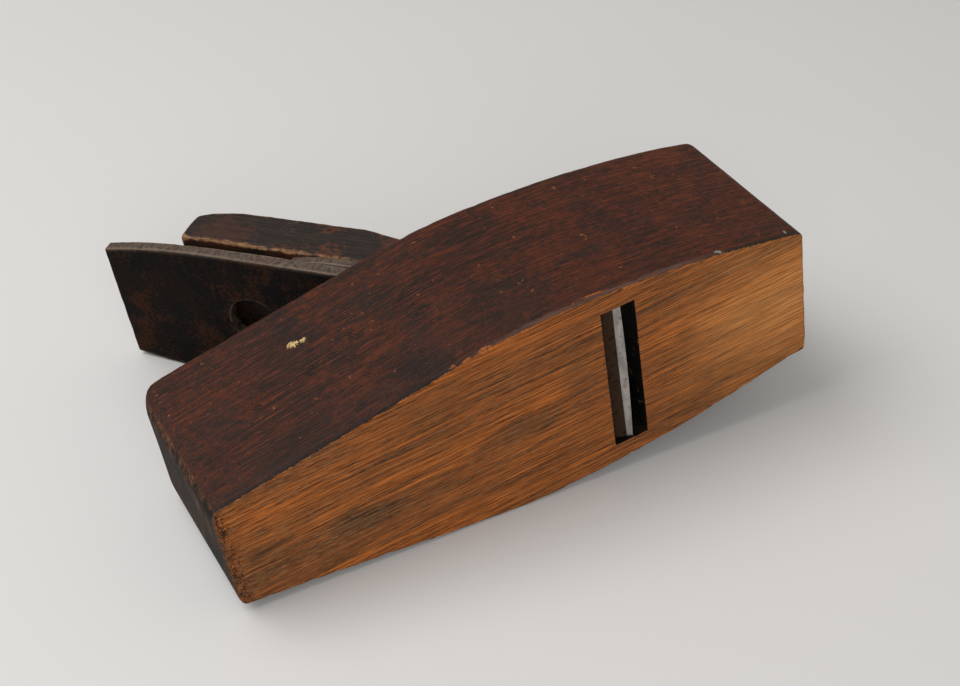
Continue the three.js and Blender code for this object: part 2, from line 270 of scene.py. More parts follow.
def newGroup(name, inputs, outputs):
    # inputs and outputs: {socket name: (kind, default)}
    group = bpy.data.node_groups.new(name, "ShaderNodeTree")
    for direction, sockets in (("INPUT", inputs), ("OUTPUT", outputs)):
        for key, (kind, default) in sockets.items():
            socket = group.interface.new_socket(key, in_out=direction, socket_type="NodeSocket" + kind)
            if default is not None:
                socket.default_value = default
    return group, group.nodes.new("NodeGroupInput").outputs, group.nodes.new("NodeGroupOutput")


def useGroup(tree, group, inputs):
    node = tree.nodes.new("ShaderNodeGroup")
    node.node_tree = group
    return wire(tree, node, inputs).outputs["Mask"]


def buildStreaks():
    # Noise drawn out along x: streaks of grain, with a contrast setting
    group, given, out = newGroup("streaks", {
        "Vector": ("Vector", None), "Along": ("Float", 0.03), "Across": ("Float", 1.0),
        "Detail": ("Float", 3.0), "Low": ("Float", 0.35), "High": ("Float", 0.65), "Bend": ("Float", 0.0),
    }, {"Mask": ("Float", None)})
    scale = addNode(group, "CombineXYZ", {"X": given["Along"], "Y": given["Across"], "Z": given["Across"]})
    sway = addNode(group, "TexNoise", {"Vector": given["Vector"], "Scale": 0.02, "Detail": 1.0})
    moved = addNode(group, "VectorMath", {0: sway.outputs["Color"], 1: given["Bend"]}, operation="MULTIPLY")
    bent = addNode(group, "VectorMath", {0: given["Vector"], 1: moved.outputs[0]}, operation="ADD")
    stretched = addNode(group, "VectorMath", {0: bent.outputs[0], 1: scale.outputs[0]}, operation="MULTIPLY")
    noise = addNode(group, "TexNoise", {"Vector": stretched.outputs[0], "Scale": 1.0,
                                        "Detail": given["Detail"], "Roughness": 0.6})
    mask = rangeOf(group, noise.outputs[0], given["Low"], given["High"], smooth=False)
    group.links.new(mask, out.inputs["Mask"])
    return group


def buildBlotches():
    # Cloudy patches with a ragged border: large noise broken up by finer noise
    group, given, out = newGroup("blotches", {
        "Vector": ("Vector", None), "Size": ("Float", 20.0), "Ragged": ("Float", 0.5),
        "Low": ("Float", 0.45), "High": ("Float", 0.6),
    }, {"Mask": ("Float", None)})
    scale = math2(group, "DIVIDE", 1.0, given["Size"])
    large = addNode(group, "TexNoise", {"Vector": given["Vector"], "Scale": scale, "Detail": 2.0})
    fineScale = math2(group, "MULTIPLY", scale, 9.0)
    fine = addNode(group, "TexNoise", {"Vector": given["Vector"], "Scale": fineScale, "Detail": 5.0,
                                       "Roughness": 0.65})
    centred = math2(group, "SUBTRACT", fine.outputs[0], 0.5)
    ragged = math2(group, "MULTIPLY", centred, given["Ragged"])
    total = math2(group, "ADD", large.outputs[0], ragged)
    group.links.new(rangeOf(group, total, given["Low"], given["High"]), out.inputs["Mask"])
    return group


def buildEdgeWearAndSheen():
    # Rubbed arrises, and the painted sheen band along the sole's arris: full at the arris, gone at Reach
    # millimetres, with a ragged border
    group, given, out = newGroup("edge wear", {
        "Distance": ("Float", 10.0), "Vector": ("Vector", None), "Reach": ("Float", 1.5),
        "Ragged": ("Float", 1.5), "Grain size": ("Float", 2.0),
    }, {"Mask": ("Float", None)})
    scale = math2(group, "DIVIDE", 1.0, given["Grain size"])
    noise = addNode(group, "TexNoise", {"Vector": given["Vector"], "Scale": scale, "Detail": 4.0,
                                        "Roughness": 0.6})
    centred = math2(group, "SUBTRACT", noise.outputs[0], 0.5)
    shift = math2(group, "MULTIPLY", centred, given["Ragged"])
    near = math2(group, "DIVIDE", given["Distance"], given["Reach"])
    total = math2(group, "ADD", near, shift)
    group.links.new(rangeOf(group, total, 0.35, 0.95, 1.0, 0.0), out.inputs["Mask"])
    return group


def buildScratches():
    # Thin straight marks: stretched noise turned to one direction, kept where it crosses its middle value
    group, given, out = newGroup("scratches", {
        "Vector": ("Vector", None), "Turn": ("Float", 0.6), "Length": ("Float", 12.0),
        "Spacing": ("Float", 3.0), "Amount": ("Float", 0.08),
    }, {"Mask": ("Float", None)})
    turned = addNode(group, "VectorRotate", {"Vector": given["Vector"], "Angle": given["Turn"]},
                     rotation_type="Y_AXIS")
    along = math2(group, "DIVIDE", 1.0, given["Length"])
    across = math2(group, "DIVIDE", 1.0, given["Spacing"])
    scale = addNode(group, "CombineXYZ", {"X": along, "Y": across, "Z": across})
    stretched = addNode(group, "VectorMath", {0: turned.outputs[0], 1: scale.outputs[0]},
                        operation="MULTIPLY")
    noise = addNode(group, "TexNoise", {"Vector": stretched.outputs[0], "Scale": 1.0, "Detail": 1.0})
    ridge = math2(group, "ABSOLUTE", math2(group, "SUBTRACT", noise.outputs[0], 0.5))
    line = rangeOf(group, ridge, 0.0, 0.012, 1.0, 0.0, smooth=False)
    sparse = addNode(group, "TexNoise", {"Vector": turned.outputs[0], "Scale": along, "Detail": 2.0})
    chosen = math2(group, "LESS_THAN", sparse.outputs[0], math2(group, "ADD", given["Amount"], 0.34))
    group.links.new(math2(group, "MULTIPLY", line, chosen), out.inputs["Mask"])
    return group


def buildPlacedMark():
    # One mark at a chosen place: an ellipse turned in the x-y plane, with a border broken up by noise
    group, given, out = newGroup("placed mark", {
        "Vector": ("Vector", None), "Place": ("Vector", None), "Reach": ("Vector", (2.0, 1.0, 6.0)),
        "Turn": ("Float", 0.0), "Ragged": ("Float", 0.8), "Grain size": ("Float", 1.0),
        "Soft": ("Float", 0.3),
    }, {"Mask": ("Float", None)})
    offset = addNode(group, "VectorMath", {0: given["Vector"], 1: given["Place"]}, operation="SUBTRACT")
    turned = addNode(group, "VectorRotate", {"Vector": offset.outputs[0], "Angle": given["Turn"]},
                     rotation_type="Z_AXIS")
    scaled = addNode(group, "VectorMath", {0: turned.outputs[0], 1: given["Reach"]}, operation="DIVIDE")
    distance = addNode(group, "VectorMath", {0: scaled.outputs[0]}, operation="LENGTH")
    fineness = math2(group, "DIVIDE", 1.0, given["Grain size"])
    noise = addNode(group, "TexNoise", {"Vector": given["Vector"], "Scale": fineness, "Detail": 4.0,
                                        "Roughness": 0.65})
    shift = math2(group, "MULTIPLY", math2(group, "SUBTRACT", noise.outputs[0], 0.5), given["Ragged"])
    total = math2(group, "ADD", distance.outputs["Value"], math2(group, "MULTIPLY", shift, 2.0))
    inner = math2(group, "SUBTRACT", 1.0, given["Soft"])
    group.links.new(rangeOf(group, total, inner, 1.0, 1.0, 0.0), out.inputs["Mask"])
    return group


streaks, blotches, edgeWearAndSheen, scratches = buildStreaks(), buildBlotches(), buildEdgeWearAndSheen(), buildScratches()
placedMark = buildPlacedMark()


class Paint:
    # One material being mixed: its node tree, its shader, and its place vector in millimetres
    def __init__(self, name, axes):
        self.material = bpy.data.materials.new(name)
        self.material.use_nodes = True
        self.tree = self.material.node_tree
        self.shader = self.tree.nodes["Principled BSDF"]
        coordinates = addNode(self.tree, "TexCoord").outputs["Object"]
        self.local = addNode(self.tree, "Mapping", {
            "Vector": coordinates, "Rotation": Matrix(axes.rows.tolist()).to_euler("XYZ"),
            "Scale": (mmPerMetre,) * 3, "Location": tuple(-(axes.rows @ axes.origin)),
        }).outputs[0]
        self.x, self.y, self.z = addNode(self.tree, "SeparateXYZ", {"Vector": self.local}).outputs

    def swung(self, degrees):  # the place vector turned about the frame's y axis
        inputs = {"Vector": self.local, "Rotation": (0, math.radians(degrees), 0)}
        return addNode(self.tree, "Mapping", inputs).outputs[0]

    def mask(self, name):
        return addNode(self.tree, "Attribute", attribute_name=name).outputs["Fac"]

    def math(self, operation, first, second=0.0, clamp=False):
        return math2(self.tree, operation, first, second, clamp)

    def times(self, first, second):
        return self.math("MULTIPLY", first, second)

    def plus(self, first, second):
        return self.math("ADD", first, second)

    def minus(self, first, second):
        return self.math("SUBTRACT", first, second)

    def most(self, first, second):
        return self.math("MAXIMUM", first, second)

    def inverse(self, value):
        return self.math("SUBTRACT", 1.0, value)

    def span(self, value, fromLow, fromHigh, toLow=0.0, toHigh=1.0, smooth=True):
        return rangeOf(self.tree, value, fromLow, fromHigh, toLow, toHigh, smooth)

    def mix(self, share, first, second):
        node = addNode(self.tree, "Mix", {0: share, 6: first, 7: second}, data_type="RGBA")
        return node.outputs[2]

    def streak(self, along=0.03, across=1.0, low=0.35, high=0.65, detail=3.0, bend=0.0, vector=None):
        return useGroup(self.tree, streaks, {
            "Vector": vector or self.local, "Along": along, "Across": across, "Detail": detail,
            "Low": low, "High": high, "Bend": bend})

    def blotch(self, size, ragged, low, high):
        return useGroup(self.tree, blotches, {"Vector": self.local, "Size": size, "Ragged": ragged,
                                              "Low": low, "High": high})

    def wear(self, reach, ragged, grainSize):
        return useGroup(self.tree, edgeWearAndSheen, {"Distance": self.mask("arris"), "Vector": self.local,
                                              "Reach": reach, "Ragged": ragged, "Grain size": grainSize})

    def scratch(self, turn, length, spacing, amount):
        return useGroup(self.tree, scratches, {"Vector": self.local, "Turn": turn, "Length": length,
                                               "Spacing": spacing, "Amount": amount})

    def mark(self, place, reach, turn, ragged, grainSize, soft):
        return useGroup(self.tree, placedMark, {
            "Vector": self.local, "Place": place, "Reach": reach, "Turn": math.radians(turn),
            "Ragged": ragged, "Grain size": grainSize, "Soft": soft})

    def finish(self, colour, roughness, height, strength, depth):
        # depth is the bump's distance in millimetres
        self.tree.links.new(colour, self.shader.inputs["Base Color"])
        self.tree.links.new(roughness, self.shader.inputs["Roughness"])
        inputs = {"Height": height, "Strength": strength, "Distance": depth / mmPerMetre}
        bump = addNode(self.tree, "Bump", inputs)
        self.tree.links.new(bump.outputs[0], self.shader.inputs["Normal"])
        return self.material


block = {
    "widestFromHeel": 108.0,
    "heelNarrowing": 15.1,
    "toeNarrowing": 11.5,
    "flankCurve": 24.0,  # from the end of the heel's straight stretch to the widest place
    "soleArris": 0.9,
    "topArris": 2.6,
    "heelRounding": (1.6, 5.0, 9.0, 5.0),  # at the sole, the right cheek, the top and the left cheek
    "toeRounding": (1.5, 2.5, 5.5, 8.0),
    "endZone": 12.0,  # the rounded stretch at both ends
    "spacing": 1.3,
    "nicks": {"count": 64, "fromEnd": 6, "span": (0.6, 1.8), "depth": (0.08, 0.42)},
    "colours": {
        "soleBright": (0.60, 0.175, 0.030, 1),
        "soleMid": (0.255, 0.068, 0.015, 1),
        "soleDark": (0.022, 0.011, 0.006, 1),
        "soleGrey": (0.105, 0.058, 0.030, 1),
        "soleTan": (0.68, 0.29, 0.085, 1),
        "cheekRed": (0.100, 0.0210, 0.0055, 1),
        "cheekBrown": (0.030, 0.0105, 0.0050, 1),
        "cheekBlack": (0.009, 0.0065, 0.0055, 1),
        "redLine": (0.20, 0.040, 0.011, 1),
        "rubbed": (0.36, 0.12, 0.030, 1),
        "pale": (0.60, 0.40, 0.18, 1),
        # painted sheen, grey and pink, on the cheek and along the sole's arris
        "greyArris": (0.021, 0.0155, 0.0138, 1),
        "pinkArris": (0.150, 0.080, 0.058, 1),
        "grime": (0.008, 0.006, 0.005, 1),
        "endGrain": (0.015, 0.009, 0.006, 1),
        "paint": (0.24, 0.25, 0.21, 1),
    },
    # streaks: how fine along and across the grain, low and high of the contrast, detail and bend
    "grain": {
        "soleLines": (0.013, 1.7, 0.42, 0.57, 4.0, 2.0),
        "soleFine": (0.050, 3.8, 0.42, 0.58, 3.0),
        "soleHairs": (0.011, 2.6, 0.54, 0.59, 3.0, 2.0),
        "soleBands": (0.007, 0.13, 0.38, 0.62, 2.0, 5.0),
        "soleDirt": (0.035, 1.0, 0.40, 0.62, 4.0),
        "solePores": (0.30, 5.5, 0.52, 0.62, 2.0),
        "soleFlecks": (0.11, 5.0, 0.55, 0.63, 2.0),
        "cheekLines": (0.020, 1.5, 0.38, 0.62, 4.0, 2.0),
        "cheekFine": (0.070, 4.2, 0.40, 0.60, 3.0),
        "cheekVessels": (0.10, 4.8, 0.54, 0.64, 2.0),
        "endLines": (0.05, 0.9, 0.5, 0.62),
    },
    # patches: size in millimetres, raggedness, low and high of the contrast
    "patches": {
        "heelGrime": (7.0, 1.8, 0.30, 0.70),
        "heelMottle": (2.4, 1.6, 0.47, 0.66),
        "red": (26.0, 0.9, 0.42, 0.60),
        # the cheek's grey painted sheen
        "patina": (22.0, 1.2, 0.44, 0.70),
        "smoke": (15.0, 1.3, 0.50, 0.64),
        "specks": (2.6, 0.5, 0.745, 0.765),
        "chipPits": (1.2, 1.4, 0.46, 0.54),
        "borderLarge": (4.0, 1.5, 0.2, 0.8),
        "borderSmall": (0.9, 1.2, 0.2, 0.8),
        "endStains": (8.0, 1.0, 0.44, 0.60),
        "endFaded": (12.0, 0.8, 0.4, 0.6),
        "rubbed": (1.4, 0.9, 0.45, 0.6),
        "crumbs": (0.8, 1.0, 0.4, 0.6),
    },
    # where an effect starts and where it is full, in millimetres, and its least and greatest strength
    "zones": {
        "tanToToe": (135.0, 196.0),
        "tanInMiddle": (26.0, 4.0),
        "paleToHeel": (20.0, 60.0, 0.32, 0.2),
        "heelGrime": (6.5, 3.6),
        "redToToe": (90.0, 180.0),
        # the cheek's grey painted sheen: how it fades to the toe, and its band beside the sole
        "patinaFromToe": (185.0, 120.0, 0.35, 1.0),
        "greyToSole": (24.0, 3.0),
        "greyFromToe": (160.0, 70.0, 0.2, 0.75),
        # the painted sheen band beside the sole: pink along the middle, and its reach from the sole
        "pinkFromHeel": (72.0, 112.0),
        "pinkFromToe": (178.0, 150.0),
        "bandBySole": (3.4, 0.6),
        "offSole": (2.0, 5.0),
        "heelFace": (5.0, 2.0),
        "heelEnd": (9.0, 5.0),
        "toeHalf": (90, 110),
    },
    # worn arrises, and the grey painted sheen band beside the sole: reach in millimetres, raggedness and
    # grain size
    "wear": {
        "greyBand": (2.6, 1.4, 3.5),
        "rubbedThrough": (0.9, 2.6, 3.5),
        "heel": (3.2, 2.0, 5.0),
        "crumbled": (1.6, 1.5, 2.0),
    },
    # placed marks: place in the plane frame, reach in x, y and z, and turn in degrees
    "marks": {
        "chips": [((46.2, 45.0, 26.5), (1.9, 1.6, 6), 20), ((49.4, 44.4, 27), (1.3, 1.0, 6), -25)],
        "arrisChips": [((89.0, 0.6, 33), (2.7, 1.0, 3), 0), ((79.0, 1.0, 31), (1.3, 0.8, 3), 10),
                       ((127.0, 2.0, 33), (6.0, 0.35, 3), 4), ((83.5, 0.3, 31.5), (2.0, 0.6, 3), 0)],
        "paint": [((169.6, 1.4, 29), (1.4, 0.8, 4), 30), ((194.5, 2.5, 24), (0.5, 0.9, 4), 10)],
        # places where the cheek's grey painted sheen is laid on
        "patina": [((58.0, 7.0, 28), (8.0, 5.0, 6), 10), ((136.0, 22.0, 33), (16.0, 6.0, 6), -4)],
    },
    # the same without a turn, and with their strength
    "dirtySole": [((44.0, 0, -8.0), (26.0, 6, 8.0), 0.9), ((96.0, 0, -3.0), (24.0, 6, 7.0), 0.7),
                  ((12.0, 0, -4.0), (16.0, 6, 9.0), 0.6), ((118.0, 0, 6.0), (10.0, 6, 22.0), 0.45),
                  ((150.0, 0, -27.0), (30.0, 6, 5.0), 0.5), ((70.0, 0, 22.0), (16.0, 6, 6.0), 0.45)],
    # the marks' borders: raggedness, grain size and softness
    "borders": {
        "chips": (1.0, 0.55, 0.12),
        "arrisChips": (1.5, 1.1, 0.5),
        "paint": (1.3, 0.6, 0.3),
        # the border of the cheek's painted sheen
        "patina": (1.2, 4.0, 0.9),
        "dirtySole": (0.5, 9.0, 0.8),
        "dents": (0.25, 1.5, 0.5),
    },
    "dents": {"groups": 9, "low": (24.0, 8.0), "high": (84.0, 44.0), "step": (0.9, 0.35), "length": 2.3,
              "width": 0.34, "turn": -62.0},
}
halfWidest = blockSize[2] / 2
mortiseHalf = ironSize[2] / 2 + mouth["sideGap"]
throatTopHalf = mortiseHalf - mouth["abutment"]
topOfBed = mouth["rear"] + mouth["bedFoot"] + blockSize[1] * bedUp[0] / bedUp[1] / math.cos(tilt)


def halfWidth(x):
    # straight from the heel, a short parabola up to the widest place, then a long one down to the toe
    slope = block["heelNarrowing"] / (block["widestFromHeel"] - block["flankCurve"] / 2)
    behind = block["widestFromHeel"] - x
    straight = halfWidest - block["heelNarrowing"] + slope * x
    short = halfWidest - slope * behind ** 2 / (2 * block["flankCurve"])
    ahead = halfWidest - block["toeNarrowing"] * (behind / (blockSize[0] - block["widestFromHeel"])) ** 2
    return np.where(behind > block["flankCurve"], straight, np.where(behind > 0, short, ahead))


def dentsOnCheek(paint):
    # groups of two or three short slanted strokes at random places on the right cheek
    dents = block["dents"]
    random = np.random.default_rng(17)
    strokes = 0.0
    for _ in range(dents["groups"]):
        at = random.uniform(dents["low"], dents["high"])
        for number in range(random.integers(2, 4)):
            x, y = at + np.array(dents["step"]) * number
            place = (x, y, float(halfWidth(at[0])))
            reach = (dents["length"] * random.uniform(0.5, 1.1), dents["width"], 4.0)
            turn = dents["turn"] + random.uniform(-8, 8)
            strokes = paint.most(strokes, paint.mark(place, reach, -turn, *block["borders"]["dents"]))
    return strokes


def soleColour(paint, fine, lines):
    # scraped bright wood, dark lines of grain, and dirt caught in them along the block
    colours, grain, patches, zones = block["colours"], block["grain"], block["patches"], block["zones"]
    mix, times, inverse, span, x = paint.mix, paint.times, paint.inverse, paint.span, paint.x
    along = paint.swung(1.0)
    sole = mix(lines, colours["soleMid"], colours["soleBright"])
    sole = mix(times(inverse(fine), 0.70), sole, colours["soleDark"])
    hairs = paint.streak(*grain["soleHairs"], vector=along)
    sole = mix(times(hairs, 0.75), sole, colours["soleDark"])
    dirty = times(paint.streak(*grain["soleBands"], vector=along), 0.5)
    for place, reach, strength in block["dirtySole"]:
        patch = paint.mark(place, reach, 1.0, *block["borders"]["dirtySole"])
        dirty = paint.most(dirty, times(patch, strength))
    greyed = mix(times(dirty, 0.75), sole, colours["soleGrey"])
    dirtLines = inverse(paint.streak(*grain["soleDirt"], vector=along))
    sole = mix(times(dirty, dirtLines), greyed, colours["soleDark"])

    # brighter to the toe, mostly in the middle; pale pores to the heel; thin bright flecks
    middle = span(paint.math("ABSOLUTE", paint.z), *zones["tanInMiddle"])
    toeward = times(span(x, *zones["tanToToe"]), paint.plus(times(middle, 0.6), 0.35))
    sole = mix(times(toeward, span(fine, 0.0, 1.0, 0.25, 0.85)), sole, colours["soleTan"])
    pores = paint.streak(*grain["solePores"], vector=along)
    sole = mix(times(pores, times(span(x, *zones["paleToHeel"]), inverse(lines))), sole, colours["pale"])
    flecks = paint.streak(*grain["soleFlecks"], vector=along)
    sole = mix(times(flecks, times(inverse(dirty), 0.55)), sole, colours["soleBright"])

    # grime along the heel's edge
    edge = paint.plus(x, times(paint.blotch(*patches["heelGrime"]), 5.0))
    mottled = mix(times(paint.blotch(*patches["heelMottle"]), 0.75), colours["grime"], colours["rubbed"])
    return mix(times(span(edge, *zones["heelGrime"]), 0.9), sole, mottled)


def cheekColour(paint, fine, lines, along, chips, strokes):
    # dark red-brown with black patina and fine red grain, redder to the toe, under a grey painted sheen
    colours, patches, zones = block["colours"], block["patches"], block["zones"]
    mix, times, inverse, span, x = paint.mix, paint.times, paint.inverse, paint.span, paint.x
    redToToe = times(span(x, *zones["redToToe"]), 0.45)
    redShare = paint.plus(times(paint.blotch(*patches["red"]), 0.65), redToToe)
    cheek = mix(redShare, colours["cheekBrown"], colours["cheekRed"])
    # painted sheen: grey laid over the cheek in patches, at two placed marks and in a band beside the sole,
    # stronger towards the heel
    patina = times(times(paint.blotch(*patches["patina"]), span(x, *zones["patinaFromToe"])), 0.55)
    for place, reach, turn in block["marks"]["patina"]:
        patina = paint.most(patina, times(paint.mark(place, reach, turn, *block["borders"]["patina"]), 0.6))
    sheenBySole = times(span(paint.y, *zones["greyToSole"]), span(x, *zones["greyFromToe"]))
    patina = paint.most(patina, times(sheenBySole, times(lines, 0.9)))
    cheek = mix(patina, cheek, colours["greyArris"])
    cheek = mix(times(paint.blotch(*patches["smoke"]), 0.55), cheek, colours["cheekBlack"])
    cheek = mix(times(inverse(lines), 0.42), cheek, colours["cheekBlack"])
    cheek = mix(times(inverse(fine), 0.5), cheek, colours["cheekBlack"])
    vessels = paint.streak(*block["grain"]["cheekVessels"], vector=along)
    cheek = mix(times(vessels, paint.minus(0.6, times(patina, 0.7))), cheek, colours["redLine"])
    cheek = mix(times(paint.blotch(*patches["specks"]), 0.6), cheek, colours["rubbed"])
    cheek = mix(times(strokes, 0.8), cheek, colours["grime"])
    pitted = mix(paint.blotch(*patches["chipPits"]), colours["cheekBlack"], colours["pale"])
    return mix(chips, cheek, pitted)


def arrisColour(paint, colour, soleFine, cheekFine, onSole, endSide):
    # a grey painted sheen band beside the sole, pink at the middle, and orange where the patina is worn
    # through
    colours, patches, wear, zones = block["colours"], block["patches"], block["wear"], block["zones"]
    mix, times, inverse, span, x, y = paint.mix, paint.times, paint.inverse, paint.span, paint.x, paint.y
    pinkShare = times(span(x, *zones["pinkFromHeel"]), span(x, *zones["pinkFromToe"]))
    band = mix(pinkShare, colours["greyArris"], colours["pinkArris"])
    band = mix(times(inverse(cheekFine), 0.6), band, colours["cheekBlack"])
    # painted sheen: the band is laid along the arris beside the sole, not on the sole itself
    onSheenBand = times(times(paint.wear(*wear["greyBand"]), span(y, *zones["bandBySole"])), inverse(onSole))
    colour = mix(times(onSheenBand, 0.8), colour, band)
    away = paint.most(span(y, *zones["offSole"]), span(x, *zones["heelFace"]))
    atHeel = span(x, *zones["heelEnd"])
    rubbed = times(times(paint.wear(*wear["rubbedThrough"]), away), paint.plus(0.5, times(atHeel, 0.4)))
    heelRub = times(times(paint.wear(*wear["heel"]), atHeel), span(endSide, 0.15, 0.5))
    rubbed = paint.most(rubbed, times(times(heelRub, soleFine), 0.7))
    bare = mix(paint.blotch(*patches["rubbed"]), colours["soleGrey"], colours["rubbed"])
    colour = mix(rubbed, colour, bare)
    chipped = mix(soleFine, colours["soleMid"], colours["rubbed"])
    for kind, share, shade in (("arrisChips", 0.85, chipped), ("paint", 0.75, colours["paint"])):
        for place, reach, turn in block["marks"][kind]:
            onMark = paint.mark(place, reach, turn, *block["borders"][kind])
            colour = mix(times(onMark, share), colour, shade)
    return colour


def buildBlockWood():
    paint = Paint("block_wood", planeFrame)
    colours, grain, patches = block["colours"], block["grain"], block["patches"]
    mix, times, inverse, span = paint.mix, paint.times, paint.inverse, paint.span
    along = paint.swung(1.0)
    soleLines = paint.streak(*grain["soleLines"], vector=along)
    soleFine = paint.streak(*grain["soleFine"], vector=along)
    unbent = {"X": paint.x, "Y": paint.y, "Z": paint.mask("unbent")}
    alongFlank = addNode(paint.tree, "CombineXYZ", unbent).outputs[0]
    cheekLines = paint.streak(*grain["cheekLines"], vector=alongFlank)
    cheekFine = paint.streak(*grain["cheekFine"], vector=alongFlank)
    chips, strokes = 0.0, dentsOnCheek(paint)
    for place, reach, turn in block["marks"]["chips"]:
        chips = paint.most(chips, paint.mark(place, reach, turn, *block["borders"]["chips"]))

    # the sole and the cheeks meet along a ragged line
    small = times(paint.blotch(*patches["borderSmall"]), 0.6)
    ragged = times(paint.minus(paint.plus(paint.blotch(*patches["borderLarge"]), small), 0.8), 0.4)
    onSole = span(paint.plus(paint.mask("soleSide"), ragged), 0.38, 0.62)
    cheek = cheekColour(paint, cheekFine, cheekLines, alongFlank, chips, strokes)
    colour = mix(onSole, cheek, soleColour(paint, soleFine, soleLines))

    # the end grain: grimy, with a few worn lines across the block; less dark at the toe
    endSide = paint.mask("endSide")
    ends = mix(paint.blotch(*patches["endStains"]), colours["grime"], colours["endGrain"])
    endLines = paint.streak(*grain["endLines"], vector=paint.swung(90))
    ends = mix(times(endLines, times(paint.blotch(*patches["endFaded"]), 0.3)), ends, colours["rubbed"])
    onEnds = times(span(endSide, 0.3, 0.8), inverse(times(span(paint.x, *block["zones"]["toeHalf"]), 0.6)))
    colour = mix(onEnds, colour, ends)
    colour = arrisColour(paint, colour, soleFine, cheekFine, onSole, endSide)

    rough = span(paint.most(onSole, endSide), 0.0, 1.0, 0.44, 0.70, smooth=False)
    roughness = paint.math("ADD", rough, times(paint.minus(0.5, soleFine), 0.2), clamp=True)
    paint.shader.inputs["Specular IOR Level"].default_value = 0.12
    height = paint.plus(times(soleLines, 0.5), times(soleFine, 0.7))
    height = paint.minus(height, times(paint.scratch(1.1, 9.0, 5.0, 0.06), 1.2))
    height = paint.minus(height, paint.plus(times(strokes, 2.5), times(chips, 2.0)))
    crumbled = times(paint.wear(*block["wear"]["crumbled"]), paint.blotch(*patches["crumbs"]))
    height = paint.minus(height, times(crumbled, 0.8))
    return paint.finish(colour, roughness, height, 0.6, 0.12)


# the wood inside the throat and the mortise: near-black painted shade in the recess, with specks of dust
throat = {
    "brown": (0.014, 0.008, 0.005, 1),
    "dark": (0.004, 0.003, 0.0025, 1),
    "black": (0.003, 0.0025, 0.002, 1),
    "dust": (0.16, 0.10, 0.045, 1),
    # patches: size in millimetres, raggedness, low and high of the contrast
    "stains": (9.0, 0.8, 0.5, 0.68),
    "specks": (3.0, 0.4, 0.66, 0.7),
}


def buildThroatPaintedShade():
    paint = Paint("throat_wood", planeFrame)
    stains, specks = paint.blotch(*throat["stains"]), paint.blotch(*throat["specks"])
    lines = paint.streak(0.1, 1.2)
    # painted shade: the throat's wood is kept near black
    dark = paint.mix(stains, throat["dark"], throat["brown"])
    dark = paint.mix(paint.times(lines, 0.4), dark, throat["black"])
    colour = paint.mix(specks, dark, throat["dust"])
    paint.shader.inputs["Specular IOR Level"].default_value = 0.1
    roughness = paint.span(stains, 0.0, 1.0, 0.7, 0.9)
    return paint.finish(colour, roughness, paint.plus(lines, specks), 0.5, 0.15)


def blockMasks(points):
    # Distance to the nearest arris, and how far each point belongs to the sole and to the two end faces,
    # from its depth below each outer surface; the rims of the mouth and of the top opening count as arrises
    x, y, z = points.T
    toSole, toTop = y, blockSize[1] - y
    toSide = np.maximum(halfWidth(x) - np.abs(z), 0)
    toEnd = np.minimum(x, blockSize[0] - x)
    nearest = np.sort(np.stack([np.minimum(toSole, toTop), toSide, toEnd]), axis=0)
    arris = np.hypot(nearest[0], nearest[1])

    def toRim(low, high, half):  # level distance to the rim of an opening
        return np.abs(np.maximum(np.maximum(low - x, x - high), np.abs(z) - half))

    front = mouth["rear"] + mouth["gap"]
    arris = np.minimum(arris, 0.5 + 2.0 * np.hypot(toSole, toRim(mouth["rear"], front, mortiseHalf)))
    arris = np.minimum(arris, np.hypot(toTop, toRim(topOfBed, front + mouth["lean"], throatTopHalf)))
    soleSide = np.clip(0.5 + (np.minimum(toSide, toEnd) - toSole) / 1.2, 0, 1)
    endSide = np.clip(0.5 + (np.minimum(np.minimum(toSole, toTop), toSide) - toEnd) / 2.0, 0, 1)
    unbent = z * halfWidest / halfWidth(x)  # straightens the flanks, so that their grain runs along them
    return {"arris": arris, "soleSide": soleSide, "endSide": endSide, "unbent": unbent}


